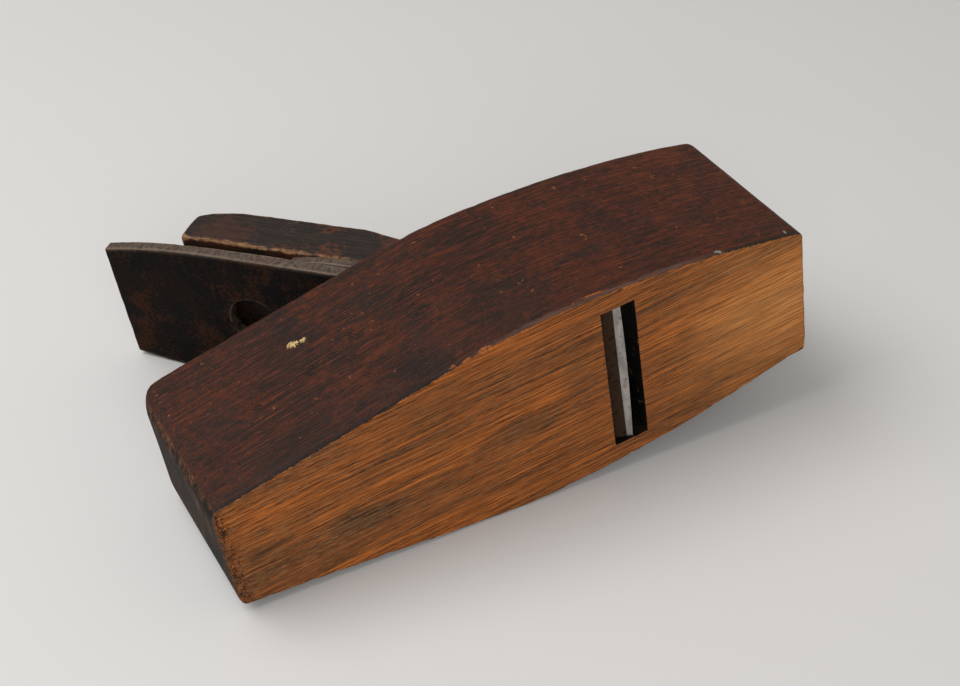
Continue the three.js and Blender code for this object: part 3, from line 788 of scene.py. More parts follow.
def buildBlock():
    # Rings of a rounded rectangle along the block: a ring's width follows halfWidth(x), and near both ends
    # each side is set in by a quarter circle of its own radius, r (1 - cos t) in and r (1 - sin t) along
    length, height = blockSize[0], blockSize[1]
    endZone, front = block["endZone"], mouth["rear"] + mouth["gap"]
    breaks = [endZone, topOfBed, mouth["rear"], front, front + mouth["lean"], length - endZone]
    runs = [evenly(low, high, block["spacing"])[:-1] for low, high in zip(breaks, breaks[1:])]
    main = np.concatenate(runs + [[breaks[-1]]])

    def acrossShares(x):
        # lines across the sole and the top, denser at the throat's two widths, in shares of the flat
        flat = halfWidth(x) - block["topArris"]
        outer = np.minimum(mortiseHalf, 0.9 * flat) / flat
        inner = outer * throatTopHalf / mortiseHalf
        half = np.concatenate([
            inner[:, None] * np.arange(0, 16) / 16,
            inner[:, None] + (outer - inner)[:, None] * np.arange(0, 6) / 6,
            outer[:, None] + (1 - outer)[:, None] * np.arange(0, 5) / 4,
        ], 1)
        return 0.5 + 0.5 * np.concatenate([-half[:, :0:-1], half], 1)

    # Rings: the end face from its middle out, the rounding, an even run, and the same again at the toe
    face = np.linspace(0.06, 1, 15)[:-1]
    rounding = np.radians(np.linspace(90, 0, 8))
    run = np.linspace(0, 1, 7)[1:-1]
    upLines = np.linspace(0, 1, 46)

    def endRings(radii, side):
        # side -1 is the heel, +1 the toe; per ring: the shares of the face, the inset, and how far in x
        radii = np.array(radii)
        inset = np.concatenate([np.tile(radii, (len(face), 1)), radii * (1 - np.cos(rounding))[:, None],
                                np.zeros((len(run), 4))])
        depth = np.concatenate([np.zeros((len(face), 4)), radii * (1 - np.sin(rounding))[:, None],
                                radii + (endZone - radii) * run[:, None]])
        shrink = np.concatenate([face, np.ones(len(rounding) + len(run))])
        if side > 0:
            inset, depth, shrink = inset[::-1], length - depth[::-1], shrink[::-1]
        return inset, depth, shrink

    heelInset, heelX, heelShrink = endRings(block["heelRounding"], -1)
    toeInset, toeX, toeShrink = endRings(block["toeRounding"], 1)
    inset = np.concatenate([heelInset, np.zeros((len(main), 4)), toeInset])
    sideX = np.concatenate([heelX, np.tile(main[:, None], (1, 4)), toeX])
    shrink = np.concatenate([heelShrink, np.ones(len(main)), toeShrink])
    low = np.stack([inset[:, 0], -(halfWidth(sideX[:, 3]) - inset[:, 3])], 1)
    high = np.stack([height - inset[:, 2], halfWidth(sideX[:, 1]) - inset[:, 1]], 1)

    # the sole's arrises are tighter than the top's, so the rings are made with each and joined by height
    shares = acrossShares(sideX.mean(1))
    ySole, zSole = roundedRings(low, high, block["soleArris"], shares, upLines)
    yTop, zTop = roundedRings(low, high, block["topArris"], shares, upLines)
    upper = np.clip((ySole - 10) / (height - 20), 0, 1)
    y, z = ySole + (yTop - ySole) * upper, zSole + (zTop - zSole) * upper

    # which side each point is on: 0 sole, 1 right cheek, 2 top, 3 left cheek, in between on the arrises
    across, up, arc = shares.shape[1], len(upLines), 4
    steps = np.arange(1, arc + 1) / (arc + 1)
    side = np.concatenate([np.zeros(across), steps, np.ones(up), 1 + steps,
                           np.full(across, 2.0), 2 + steps, np.full(up, 3.0), 3 + steps])
    nearest = np.abs(side[:, None] - np.arange(4)[None, :])
    nearest[:, 0] = np.minimum(nearest[:, 0], 4 - side)
    weights = np.clip(1 - nearest, 0, 1)
    x = sideX @ weights.T
    middleY, middleZ = (low[:, :1] + high[:, :1]) / 2, (low[:, 1:] + high[:, 1:]) / 2
    y = middleY + (y - middleY) * shrink[:, None]
    z = middleZ + (z - middleZ) * shrink[:, None]

    points = np.stack([x, y, z], -1).reshape(-1, 3)
    ends = np.array([[0, height / 2, 0], [length, height / 2, 0]])
    points = np.concatenate([points, ends])

    # slight unevenness along a direction that points straight out of the faces and slantwise at the arrises
    centre = np.array([length / 2, height / 2, 0])
    outward = (points - centre) / np.array([length, height, 60.0]) * 2
    outward = np.sign(outward) * np.abs(outward) ** 7
    outward /= np.linalg.norm(outward, axis=1)[:, None] + 1e-9
    arris = blockMasks(points)["arris"]
    points += outward * (0.06 * smoothWaves(points, 38.0, 3))[:, None]
    points += outward * (0.07 * smoothWaves(points, 6.0, 4) * np.exp(-(arris / 1.6) ** 2))[:, None]

    # nicks: short dips pressed into the arrises at random places along the block
    nicks = block["nicks"]
    count, fromEnd = nicks["count"], nicks["fromEnd"]
    random = np.random.default_rng(11)
    places = random.uniform(fromEnd, length - fromEnd, count)
    spans = random.uniform(*nicks["span"], count)
    depths, corners = random.uniform(*nicks["depth"], count), random.integers(0, 4, count)
    quadrant = (points[:, 1] > height / 2) * 2 + (points[:, 2] > 0)
    dip = sum(depth * np.exp(-((points[:, 0] - place) / span) ** 2) * (quadrant == corner)
              for place, span, depth, corner in zip(places, spans, depths, corners))
    points -= outward * (dip * np.exp(-(arris / 1.1) ** 2))[:, None]
    return makePiece("plane_block", points, ringFaces(*x.shape), planeFrame)


def throatCutters():
    # solids to take out of the block; each runs well past the surfaces that it cuts
    height, wide, past, underSole = blockSize[1], mortiseHalf, 10, -8
    below, above = -12, 170  # ends of the bed's and the wedge's lines, outside the block
    wedgeSlope = math.tan(math.radians(wedge["taper"]))
    tipFront = wedge["back"] + wedge["tipThickness"] + fitGap / math.cos(math.atan(wedgeSlope))

    def toPlane(axes, points):
        return planeFrame.inside(axes.outside(np.array(points, float)))[:, :2]

    bed = toPlane(bedFrame, [[0, below, 0], [0, above, 0]])
    wedgeFront = [[tipFront + (y - wedge["tipFromEdge"]) * wedgeSlope, y, 0] for y in (above, below)]
    abutment = toPlane(faceFrame, wedgeFront)

    def atSole(line):  # where a line through two points meets the sole
        return line[0] - (line[1] - line[0]) * line[0][1] / (line[1][1] - line[0][1])

    outline = [atSole(bed), bed[1], abutment[0], atSole(abutment[::-1])]
    mortise = prism("mortise", outline, -wide, wide, planeFrame)

    front = mouth["rear"] + mouth["gap"]
    mouthOutline = [(mouth["rear"], underSole), (front, underSole), (front, mouth["rise"]),
                    (mouth["rear"], mouth["rise"])]
    mouthBox = prism("mouthBox", mouthOutline, -wide, wide, planeFrame)

    # the escapement: four level sections from the mouth to above the top
    eye = toPlane(faceFrame, [[fitGap + cap["thickness"], cap["setback"] + cap["humpLength"], 0]])[0][1]
    high = height + past
    lean = mouth["lean"] / (height - mouth["rise"])
    narrowing = mouth["abutment"] / (height - eye)
    overlap = 3  # how far the escapement reaches into the mortise

    def rearAt(y):
        share = (y - abutment[1][1]) / (abutment[0][1] - abutment[1][1])
        return abutment[1][0] + (abutment[0][0] - abutment[1][0]) * share - overlap

    levels = [
        (mouth["rise"] * 0.5, mouth["rear"], front, wide),
        (mouth["rise"], mouth["rear"] - overlap, front, wide),
        (eye, rearAt(eye), front + lean * (eye - mouth["rise"]), wide),
        (high, rearAt(high), front + lean * (high - mouth["rise"]), wide - narrowing * (high - eye)),
    ]
    points = np.array([(x, y, z) for y, rear, ahead, half in levels
                       for x, z in ((rear, -half), (ahead, -half), (ahead, half), (rear, half))])
    faces = [[4 * k + i, 4 * k + (i + 1) % 4, 4 * k + 4 + (i + 1) % 4, 4 * k + 4 + i]
             for k in range(3) for i in range(4)]
    faces += [[3, 2, 1, 0], [12, 13, 14, 15]]
    escapement = makePiece("escapement", points, faces, planeFrame)

    # the channel down the bed for the screw's head, with a round lower end
    half = screw["headDiameter"] / 2 + screw["channelRoom"]
    edgeUpBed = bedFrame.inside(faceFrame.origin[None, :])[0][1]
    channelFoot = edgeUpBed + screw["fromEdge"] - screw["headDiameter"] / 2 - screw["belowHead"]
    turn = np.linspace(math.pi, 2 * math.pi, 25)
    outline = [(channelFoot + half + half * math.sin(t), half * math.cos(t)) for t in turn]
    outline += [(screw["channelEnd"], half), (screw["channelEnd"], -half)]
    channel = prism("channel", outline, screw["channelFloor"], fitGap, bedFrame, flat=0)
    return [mortise, mouthBox, escapement, channel]


def slabPiece(name, stations, halfAt, backAt, frontAt, radius, endRadius, shapeIt, columns=42, upSteps=5):
    # A slab carried up the iron, in the face frame: rounded rectangles from the back to the front surface,
    # with both ends rounded over by quarter circles and closed. shapeIt bends the points.
    phases = np.radians(np.linspace(90, 0, 5))
    low, high = stations[0], stations[-1]
    lowRadius, highRadius = endRadius
    between = stations[(stations > low + lowRadius * 1.4) & (stations < high - highRadius * 1.4)]
    y = np.concatenate([low + lowRadius * (1 - np.sin(phases)), between,
                        high - highRadius * (1 - np.sin(phases[::-1]))])
    inset = np.concatenate([lowRadius * (1 - np.cos(phases)), np.zeros(len(between)),
                            highRadius * (1 - np.cos(phases[::-1]))])
    faceShares = np.linspace(0.1, 1, 6)[:-1]
    shrink = np.concatenate([faceShares, np.ones(len(y)), faceShares[::-1]])
    y, inset = (np.pad(values, len(faceShares), mode="edge") for values in (y, inset))
    back, front, half = backAt(y), frontAt(y), halfAt(y)
    inset = np.minimum(inset, 0.4 * (front - back))
    lowCorner = np.stack([back + inset, -half + inset], 1)
    highCorner = np.stack([front - inset, half - inset], 1)
    acrossLines, upLines = np.linspace(0, 1, columns), np.linspace(0, 1, upSteps)
    x, z = roundedRings(lowCorner, highCorner, radius, acrossLines, upLines, arcSteps=4)
    middle = ((lowCorner + highCorner) / 2)[:, None, :]
    x = middle[:, :, 0] + (x - middle[:, :, 0]) * shrink[:, None]
    z = middle[:, :, 1] + (z - middle[:, :, 1]) * shrink[:, None]
    y = np.broadcast_to(y[:, None], x.shape)
    points = np.concatenate([np.stack([x, y, z], -1).reshape(-1, 3),
                             [[middle[0, 0, 0], y[0, 0], 0], [middle[-1, 0, 0], y[-1, 0], 0]]])
    points = shapeIt(points, slabMasks(points, (low, high), halfAt, backAt, frontAt)["arris"])
    return makePiece(name, points, ringFaces(*x.shape), faceFrame)


def slabMasks(points, span, halfAt, backAt, frontAt, holes=()):
    # Distance to the nearest arris of a slab, its holes included, and the rim: its narrow side and end faces
    x, y, z = points.T
    back, front, half = backAt(y), frontAt(y), halfAt(y)
    toFace = np.abs(np.minimum(x - back, front - x))
    toSide = np.abs(half - np.abs(z))
    toEnd = np.abs(np.minimum(y - span[0], span[1] - y))
    nearest = np.sort(np.stack([toFace, toSide, toEnd]), axis=0)
    arris = np.hypot(nearest[0], nearest[1])
    for centre, reach, radius in holes:  # a hole as long as reach, with round ends
        toHole = np.abs(np.hypot(np.maximum(np.abs(y - centre) - reach, 0), z) - radius)
        arris = np.minimum(arris, 0.4 + np.hypot(toFace, toHole))
    rim = np.clip(1.5 - np.minimum(toSide, toEnd) / 0.5, 0, 1)
    return {"arris": arris, "rim": rim}


def cornerHalf(side, top, length, cut):  # half the width, rounded off by a parabola at the top corners
    return lambda y: side - cut * np.clip((y - (top - length)) / length, 0, 1) ** 2


def disc(name, diameter, low, high, centreY):
    turn = np.linspace(0, 2 * math.pi, 64, endpoint=False)
    outline = [(centreY + diameter / 2 * math.cos(t), diameter / 2 * math.sin(t)) for t in turn]
    return prism(name, outline, low, high, faceFrame, flat=0)


def slotOutline(width, low, high):
    # a slot with half round ends, from low to high between the two centres
    turn = np.linspace(0, math.pi, 17)
    lower = [(low + width / 2 - width / 2 * math.sin(t), width / 2 * math.cos(t)) for t in turn]
    upper = [(high + width / 2 * math.sin(t), -width / 2 * math.cos(t)) for t in turn]
    return lower + upper


steel = {  # the finish that the two irons and the screw share
    "colours": {
        "dark": (0.0040, 0.0030, 0.0026, 1),
        "brown": (0.010, 0.0065, 0.0045, 1),
        "rust": (0.046, 0.014, 0.005, 1),
        "pit": (0.004, 0.003, 0.0025, 1),
        "rimDark": (0.060, 0.044, 0.034, 1),
        "rimBright": (0.135, 0.104, 0.082, 1),
        "rimRust": (0.075, 0.035, 0.018, 1),
        "rubbed": (0.17, 0.125, 0.092, 1),
        "honedDark": (0.27, 0.245, 0.225, 1),
        "honedBright": (0.40, 0.37, 0.35, 1),
        "stain": (0.10, 0.06, 0.04, 1),
        "ground": (0.034, 0.019, 0.011, 1),
        "groundDark": (0.017, 0.010, 0.006, 1),
    },
    # patches: size in millimetres, raggedness, low and high of the contrast
    "clouds": (16.0, 0.7, 0.42, 0.64),
    "rust": (11.0, 1.1, 0.50, 0.66),
    "pits": (1.8, 0.5, 0.55, 0.68),
    "stains": (2.6, 0.9, 0.63, 0.70),
    "wear": (0.8, 1.7, 2.5),
}


def buildSteel(name, honedWidth=0.0):
    # honedWidth is how far up the iron its bright honed strip reaches
    paint = Paint(name, faceFrame)
    colours, mix, times, span = steel["colours"], paint.mix, paint.times, paint.span
    clouds, rust, pits = (paint.blotch(*steel[kind]) for kind in ("clouds", "rust", "pits"))
    colour = mix(clouds, colours["dark"], colours["brown"])
    colour = mix(times(rust, 0.55), colour, colours["rust"])
    colour = mix(times(pits, 0.35), colour, colours["pit"])
    rimColour = mix(paint.streak(0.5, 0.9), colours["rimDark"], colours["rimBright"])
    rimColour = mix(times(rust, 0.4), rimColour, colours["rimRust"])
    colour = mix(times(paint.mask("rim"), 0.9), colour, rimColour)
    colour = mix(times(paint.wear(*steel["wear"]), 0.6), colour, colours["rubbed"])
    metal = span(paint.plus(clouds, rust), 0.0, 1.4, 0.25, 0.0)
    rough = span(paint.plus(clouds, pits), 0.0, 1.5, 0.55, 0.80)
    if honedWidth:
        # the bevel: rusty where it was ground, bright along the cutting edge
        nearEdge = span(paint.y, honedWidth + 0.07, honedWidth - 0.07)
        bright = times(paint.mask("bevel"), nearEdge)
        ground = times(paint.mask("bevel"), paint.inverse(nearEdge))
        bare = mix(paint.streak(0.9, 0.12, 0.4), colours["honedDark"], colours["honedBright"])
        bare = mix(times(paint.blotch(*steel["stains"]), 0.7), bare, colours["stain"])
        colour = mix(ground, colour, mix(pits, colours["ground"], colours["groundDark"]))
        colour = mix(bright, colour, bare)
        metal = paint.most(times(metal, paint.inverse(ground)), times(bright, 0.6))
        rough = span(bright, 0.0, 1.0, paint.most(rough, times(ground, 0.85)), 0.42, smooth=False)
    paint.tree.links.new(metal, paint.shader.inputs["Metallic"])
    paint.shader.inputs["Specular IOR Level"].default_value = 0.06
    height = paint.minus(times(clouds, 0.4), paint.plus(pits, paint.scratch(0.4, 14.0, 6.0, 0.05)))
    return paint.finish(colour, rough, height, 0.4, 0.08)


iron = {
    "edgeThickness": 5.1,
    "topThickness": 3.7,
    "cornerLength": 40.0,
    "cornerCut": 4.0,
    "keyholeDiameter": 19.5,
    "keyholeFromEdge": 127.5,
    "slotWidth": 10.4,
    "slotFromEdge": 40.0,
    "honedAngle": 33.0,
    "honedLength": 2.7,
    "bevelAngle": 27.0,
    "edgeBlunt": 0.12,
    "camber": 0.45,
    "skew": -0.25,
    "spacing": 1.8,
    "cutFromTo": (-12, 8),  # the holes' cutters run from behind the iron to in front of it
}


def buildIron():
    length = ironSize[1]
    honedAngle = math.radians(iron["honedAngle"])
    honed = np.array([-math.sin(honedAngle), math.cos(honedAngle)]) * iron["honedLength"]
    bevelEnd = honed[1] + (iron["edgeThickness"] + honed[0]) / math.tan(math.radians(iron["bevelAngle"]))
    taper = (iron["edgeThickness"] - iron["topThickness"]) / length

    def flatAt(y):
        return -iron["edgeThickness"] + taper * y

    def backAt(y):  # the honed strip, the ground bevel and the flat back; the edge is not quite sharp
        bevel = np.interp(y, [0, honed[1], bevelEnd], [-iron["edgeBlunt"], honed[0], flatAt(bevelEnd)])
        return np.where(y < bevelEnd, bevel, flatAt(y))

    def frontAt(y):
        return 0 * y

    def edgeShift(z):  # the edge is cambered and slightly skewed
        share = z / (ironSize[2] / 2)
        return iron["camber"] * share ** 2 + iron["skew"] * share + 0.05

    def shapeIt(points, arris):
        # moves the edge, and adds a slight bend, worn sides and a battered top
        near = np.clip(1 - points[:, 1] / 14, 0, 1)
        points[:, 1] += edgeShift(points[:, 2]) * near
        points[:, 0] += 0.06 * smoothWaves(points, 30.0, 21) * (1 - near)
        nearEdge = np.exp(-(arris / 1.0) ** 2) * (points[:, 1] > 20)
        points[:, 2] -= np.sign(points[:, 2]) * 0.12 * np.abs(smoothWaves(points, 5.0, 22)) * nearEdge
        battered = np.exp(-((length - points[:, 1]) / 2.0) ** 2)
        points[:, 1] -= battered * 0.14 * np.abs(smoothWaves(points, 9.0, 23))
        return points

    def masks(points):
        found = slabMasks(points, (0, length), half, backAt, frontAt, holes)
        x, y, z = points.T
        found["bevel"] = (x < -0.02) & (y < bevelEnd + 0.3) & (np.abs(x - backAt(y - edgeShift(z))) < 0.7)
        return found

    stations = np.unique(np.concatenate([
        np.linspace(0, honed[1] - 0.4, 4), honed[1] + np.linspace(-0.3, 0.3, 5),
        np.linspace(honed[1] + 0.5, bevelEnd, 7), evenly(bevelEnd, length, iron["spacing"]),
    ]))
    half = cornerHalf(ironSize[2] / 2, length, iron["cornerLength"], iron["cornerCut"])
    piece = slabPiece("iron_blade", stations, half, backAt, frontAt, 0.45, (0.05, 0.8), shapeIt)
    keyhole = disc("keyhole", iron["keyholeDiameter"], *iron["cutFromTo"], iron["keyholeFromEdge"])
    outline = slotOutline(iron["slotWidth"], iron["slotFromEdge"], iron["keyholeFromEdge"] - 3)
    slot = prism("slot", outline, *iron["cutFromTo"], faceFrame, flat=0)
    cutAway(piece, [slot, keyhole])
    easeEdges(piece, 0.2)
    slotReach = (iron["keyholeFromEdge"] - iron["slotFromEdge"] - iron["slotWidth"]) / 2
    holes = [(iron["keyholeFromEdge"], 0, iron["keyholeDiameter"] / 2),
             (iron["slotFromEdge"] + iron["slotWidth"] / 2 + slotReach, slotReach, iron["slotWidth"] / 2)]
    setAttributes(piece, faceFrame, masks)
    return piece


cap = {
    "setback": 1.5,
    "length": 111.0,
    "thickness": 3.2,
    "tipThickness": 0.6,
    "humpLength": 26.0,
    "humpRise": 2.2,
    "tipShare": 0.35,  # of the hump's length, over which the tip thickens
    "cornerLength": 18.0,
    "cornerCut": 2.2,
    "spacing": 1.8,
}


def humpLift(share):  # a smooth hump near the tip: the square of a sine
    return cap["humpRise"] * np.sin(math.pi * share ** 0.6) ** 2


def buildCap():
    top = cap["setback"] + cap["length"]

    def shareAt(y):  # 0 at the tip, 1 where the hump ends
        return np.clip((y - cap["setback"]) / cap["humpLength"], 0, 1)

    def backAt(y):
        return fitGap + humpLift(shareAt(y))

    def frontAt(y):
        growth = np.clip(shareAt(y) / cap["tipShare"], 0, 1)
        return backAt(y) + (cap["tipThickness"] + (cap["thickness"] - cap["tipThickness"]) * growth)

    humpEnd = cap["setback"] + cap["humpLength"]
    stations = np.concatenate([cap["setback"] + cap["humpLength"] * np.linspace(0, 1, 25)[:-1] ** 1.4,
                               evenly(humpEnd, top, cap["spacing"])])
    half = cornerHalf(ironSize[2] / 2, top, cap["cornerLength"], cap["cornerCut"])

    def shapeIt(points, arris):
        worn = 0.15 * np.abs(smoothWaves(points, 6.0, 31))
        points[:, 2] -= np.sign(points[:, 2]) * worn * np.exp(-(arris / 1.0) ** 2)
        return points

    piece = slabPiece("cap_plate", stations, half, backAt, frontAt, 0.5, (0.15, 0.8), shapeIt)
    cutAway(piece, [disc("neckHole", boss["neckDiameter"] + 2 * fitGap, -4, 12, screw["fromEdge"])])
    easeEdges(piece, 0.2)
    holes = [(screw["fromEdge"], 0, boss["neckDiameter"] / 2 + fitGap)]
    span = (cap["setback"], top)
    setAttributes(piece, faceFrame, lambda points: slabMasks(points, span, half, backAt, frontAt, holes))
    return piece


def turnedPiece(name, profile, closedProfile=False, shapeRadius=None):
    # A profile of (x, radius) turned about the screw's axis, in the face frame: y = radius cos a and
    # z = radius sin a from that axis. An open profile is closed by a point at each end.
    profile, sides = np.array(profile, float), 64
    angle = np.linspace(0, 2 * math.pi, sides, endpoint=False)[None, :]
    x = np.broadcast_to(profile[:, :1], (len(profile), sides)).copy()
    radius = np.broadcast_to(profile[:, 1:], (len(profile), sides)).copy()
    if shapeRadius:
        radius = shapeRadius(x, radius, angle)
    y, z = screw["fromEdge"] + radius * np.cos(angle), radius * np.sin(angle)
    points = np.stack([x, y, z], -1).reshape(-1, 3)
    if closedProfile:
        faces = ringFaces(len(profile), sides, closeEnds=False)
        j = np.arange(sides)
        last = (len(profile) - 1) * sides
        faces += np.stack([last + j, last + (j + 1) % sides, (j + 1) % sides, j], -1).tolist()
    else:
        ends = [[profile[end, 0], screw["fromEdge"], 0] for end in (0, -1)]
        points = np.concatenate([points, ends])
        faces = ringFaces(len(profile), sides)
    return makePiece(name, points, faces, faceFrame)


def softened(corners, radius, steps=4):
    # Each corner of a profile becomes a short curve: points along the quadratic curve between its two sides
    corners = np.array(corners, float)
    out = [corners[0]]
    for before, corner, after in zip(corners, corners[1:], corners[2:]):
        start = corner + unit(before - corner) * min(radius, 0.45 * np.linalg.norm(before - corner))
        end = corner + unit(after - corner) * min(radius, 0.45 * np.linalg.norm(after - corner))
        for t in np.linspace(0, 1, steps):
            out.append((1 - t) ** 2 * start + 2 * t * (1 - t) * corner + t ** 2 * end)
    return out + [corners[-1]]


boss = {
    "neckDiameter": 14.0,
    "diameter": 20.0,
    "height": 4.0,
    "pastBoss": 0.6,  # how far the screw's end stands past the boss
    "brass": (0.36, 0.24, 0.09, 1),
    "tarnish": (0.10, 0.07, 0.035, 1),
    "toolMarks": (0.06, 0.045, 0.02, 1),
}


def buildBrass():
    paint = Paint("boss_brass", faceFrame)
    tarnish = paint.blotch(6.0, 0.9, 0.42, 0.62)
    turning = paint.streak(3.0, 0.4)
    colour = paint.mix(tarnish, boss["brass"], boss["tarnish"])
    colour = paint.mix(paint.times(turning, 0.3), colour, boss["toolMarks"])
    paint.shader.inputs["Metallic"].default_value = 1.0
    return paint.finish(colour, paint.span(tarnish, 0.0, 1.0, 0.35, 0.6), turning, 0.3, 0.05)


def buildBoss():
    back, seat = fitGap, fitGap + cap["thickness"] + fitGap
    front = seat + boss["height"]
    neck, flange, bore = boss["neckDiameter"] / 2, boss["diameter"] / 2, screw["shankDiameter"] / 2 + fitGap
    loop = [(back, bore + 0.5), (back, neck), (seat, neck), (seat, flange), (front - 1.2, flange),
            (front, flange - 1.6), (front, bore + 0.5), (front - 0.5, bore), (back + 0.5, bore),
            (back, bore + 0.5)]
    return turnedPiece("boss_nut", softened(loop, 0.35)[:-1], closedProfile=True)


screw = {
    "fromEdge": 66.0,
    "shankDiameter": 8.0,
    "headDiameter": 17.5,
    "headThickness": 3.5,
    "slotWidth": 1.6,
    "slotDepth": 1.4,
    "pitch": 1.3,
    "threadDepth": 0.35,
    "channelFloor": -4.9,  # below the bed
    "channelRoom": 1.2,  # between the head and the channel's sides
    "belowHead": 4,  # how far the channel starts below the head
    "channelEnd": 130,  # up the bed, past the block's top
}


def buildScrew():
    along = (nodePoints("cap_iron_screw") @ faceRows.T - edgePlace)[:, 0]
    headBack, shankEnd = along.min(), along.max()
    headFront = headBack + screw["headThickness"]
    head, shank = screw["headDiameter"] / 2, screw["shankDiameter"] / 2
    corners = [(headBack, 0.3), (headBack, head - 1.6), (headBack + 0.9, head), (headFront, head),
               (headFront, shank)]
    threadFrom = headFront + 2.2
    thread = [(x, shank) for x in np.arange(threadFrom, shankEnd - 0.8, 0.13)]
    end = [(shankEnd - 0.4, shank - 0.3), (shankEnd, shank - 1.0), (shankEnd, 0.3)]
    profile = softened(corners, 0.5) + thread + end

    def shapeRadius(x, radius, angle):
        # the thread: a triangle wave that moves on by one pitch for each turn
        turns = x / screw["pitch"] - angle / (2 * math.pi)
        groove = 2 * np.abs(turns - np.floor(turns) - 0.5)
        inThread = (x > threadFrom) & (x < shankEnd - 0.6)
        return radius - screw["threadDepth"] * groove * inThread

    piece = turnedPiece("iron_screw", profile, shapeRadius=shapeRadius)
    half, low, high = screw["slotWidth"] / 2, screw["fromEdge"] - 20, screw["fromEdge"] + 20
    outline = [(low, -half), (high, -half), (high, half), (low, half)]
    slot = prism("screwSlot", outline, headBack - 3, headBack + screw["slotDepth"], faceFrame, flat=0)
    cutAway(piece, [slot])
    easeEdges(piece, 0.15, angle=50, segments=1)

    def masks(points):
        radius = np.hypot(points[:, 1] - screw["fromEdge"], points[:, 2])
        toRim = np.abs(radius - screw["headDiameter"] / 2)
        x = points[:, 0]
        arris = np.where(x < headFront + 0.1, np.hypot(toRim, np.minimum(x - headBack, 9)), 4.0)
        return {"arris": arris, "rim": (x > headFront) * 0.6}

    setAttributes(piece, faceFrame, masks)
    return piece


wedge = {
    "thickness": 16.5,
    "taper": 11.2,
    "tipFromEdge": 29.5,
    "tipThickness": 4.0,
    "sideGap": 0.6,
    "prongWidth": 9.0,
    "crotchFromEdge": 57.0,
    "back": fitGap + cap["thickness"] + fitGap,
    "bossRoom": 1.4,  # between the boss and the groove
    "topRounding": 22.0,
    "topDrop": 6.8,
    "spacing": 1.6,
    "colours": {
        "dark": (0.010, 0.007, 0.0055, 1),
        "brown": (0.028, 0.013, 0.008, 1),
        "red": (0.105, 0.026, 0.009, 1),
        "black": (0.006, 0.005, 0.004, 1),
        "rubbedDark": (0.10, 0.045, 0.018, 1),
        "rubbedBright": (0.33, 0.17, 0.07, 1),
        "scratch": (0.22, 0.11, 0.05, 1),
    },
}


def buildWedgeWood():
    # the wedge's grain runs up it, so its frame is turned a quarter about z
    paint = Paint("wedge_wood", Axes([faceUp, -faceOut, acrossBlock], faceFrame.origin))
    colours, mix, times = wedge["colours"], paint.mix, paint.times
    lines = paint.streak(0.03, 0.8, 0.38, 0.62, bend=2.0)
    fine = paint.streak(0.2, 3.0, 0.38, 0.64)
    patches = paint.blotch(17.0, 0.9, 0.46, 0.62)
    colour = mix(lines, colours["dark"], colours["brown"])
    lower = times(paint.span(paint.x, 138.0, 100.0), patches)
    colour = mix(paint.most(times(patches, 0.35), times(lower, 0.9)), colour, colours["red"])
    colour = mix(times(paint.inverse(fine), 0.55), colour, colours["black"])
    rubbed = mix(fine, colours["rubbedDark"], colours["rubbedBright"])
    colour = mix(times(paint.wear(1.25, 2.8, 3.2), 0.8), colour, rubbed)
    scratched = paint.scratch(0.8, 8.0, 3.5, 0.10)
    colour = mix(times(scratched, 0.5), colour, colours["scratch"])
    paint.shader.inputs["Specular IOR Level"].default_value = 0.2
    height = paint.minus(paint.plus(times(lines, 0.6), fine), times(scratched, 1.5))
    return paint.finish(colour, paint.span(fine, 0.0, 1.0, 0.62, 0.46), height, 0.55, 0.12)


def buildWedge():
    side = mortiseHalf - wedge["sideGap"]
    slope = math.tan(math.radians(wedge["taper"]))
    back, tip, top = wedge["back"], wedge["tipFromEdge"], wedgeTop

    def sideAt(y):
        return side + 0 * y

    def backAt(y):
        return back + 0 * y

    def frontAt(y):  # the taper up to the full thickness, and an ellipse over the top
        front = np.minimum(back + wedge["tipThickness"] + (y - tip) * slope, back + wedge["thickness"])
        t = np.clip((y - (top - wedge["topRounding"])) / wedge["topRounding"], 0, 1)
        return front - wedge["topDrop"] * (1 - np.sqrt(1 - t ** 2 * 0.999))

    stations = np.concatenate([evenly(tip, top - 12, wedge["spacing"])[:-1],
                               top - 12 * (1 - np.linspace(0, 1, 22)) ** 1.6])

    def shapeIt(points, arris):
        # worn arrises and a battered top
        near = np.exp(-(arris / 2.0) ** 2)
        offBack = np.clip((points[:, 0] - back - 1) / 4, 0, 1)
        points[:, 0] -= 0.16 * np.abs(smoothWaves(points, 8.0, 41)) * near * offBack
        points[:, 2] -= np.clip(points[:, 2] / 5, -1, 1) * 0.14 * np.abs(smoothWaves(points, 7.0, 42)) * near
        battered = np.exp(-((top - points[:, 1]) / 3.0) ** 2)
        points[:, 1] -= battered * 0.2 * np.abs(smoothWaves(points, 11.0, 43))
        return points

    def archCutter(name, crown, long, half, high):
        # an opening from below the tip, as wide as 2 half, ending in half an ellipse of length long
        turn = np.linspace(0, math.pi, 33)
        arch = [(crown - long + long * math.sin(t), half * math.cos(t)) for t in turn]
        return prism(name, [(tip - 10, half)] + arch + [(tip - 10, -half)], 0, high, faceFrame, flat=0)

    piece = slabPiece("wedge_block", stations, sideAt, backAt, frontAt, 1.1, (0.6, 1.4), shapeIt,
                      columns=36, upSteps=12)
    inner = side - wedge["prongWidth"]
    fork = archCutter("fork", wedge["crotchFromEdge"], inner / 2, inner, 40)
    radius = boss["diameter"] / 2 + wedge["bossRoom"]
    grooveFront = back + boss["height"] + boss["pastBoss"] + wedge["bossRoom"]
    groove = archCutter("groove", screw["fromEdge"] + radius, radius, radius, grooveFront)
    cutAway(piece, [fork, groove])
    easeEdges(piece, 0.5)
    setAttributes(piece, faceFrame, lambda points: slabMasks(points, (tip, top), sideAt, backAt, frontAt))
    return piece


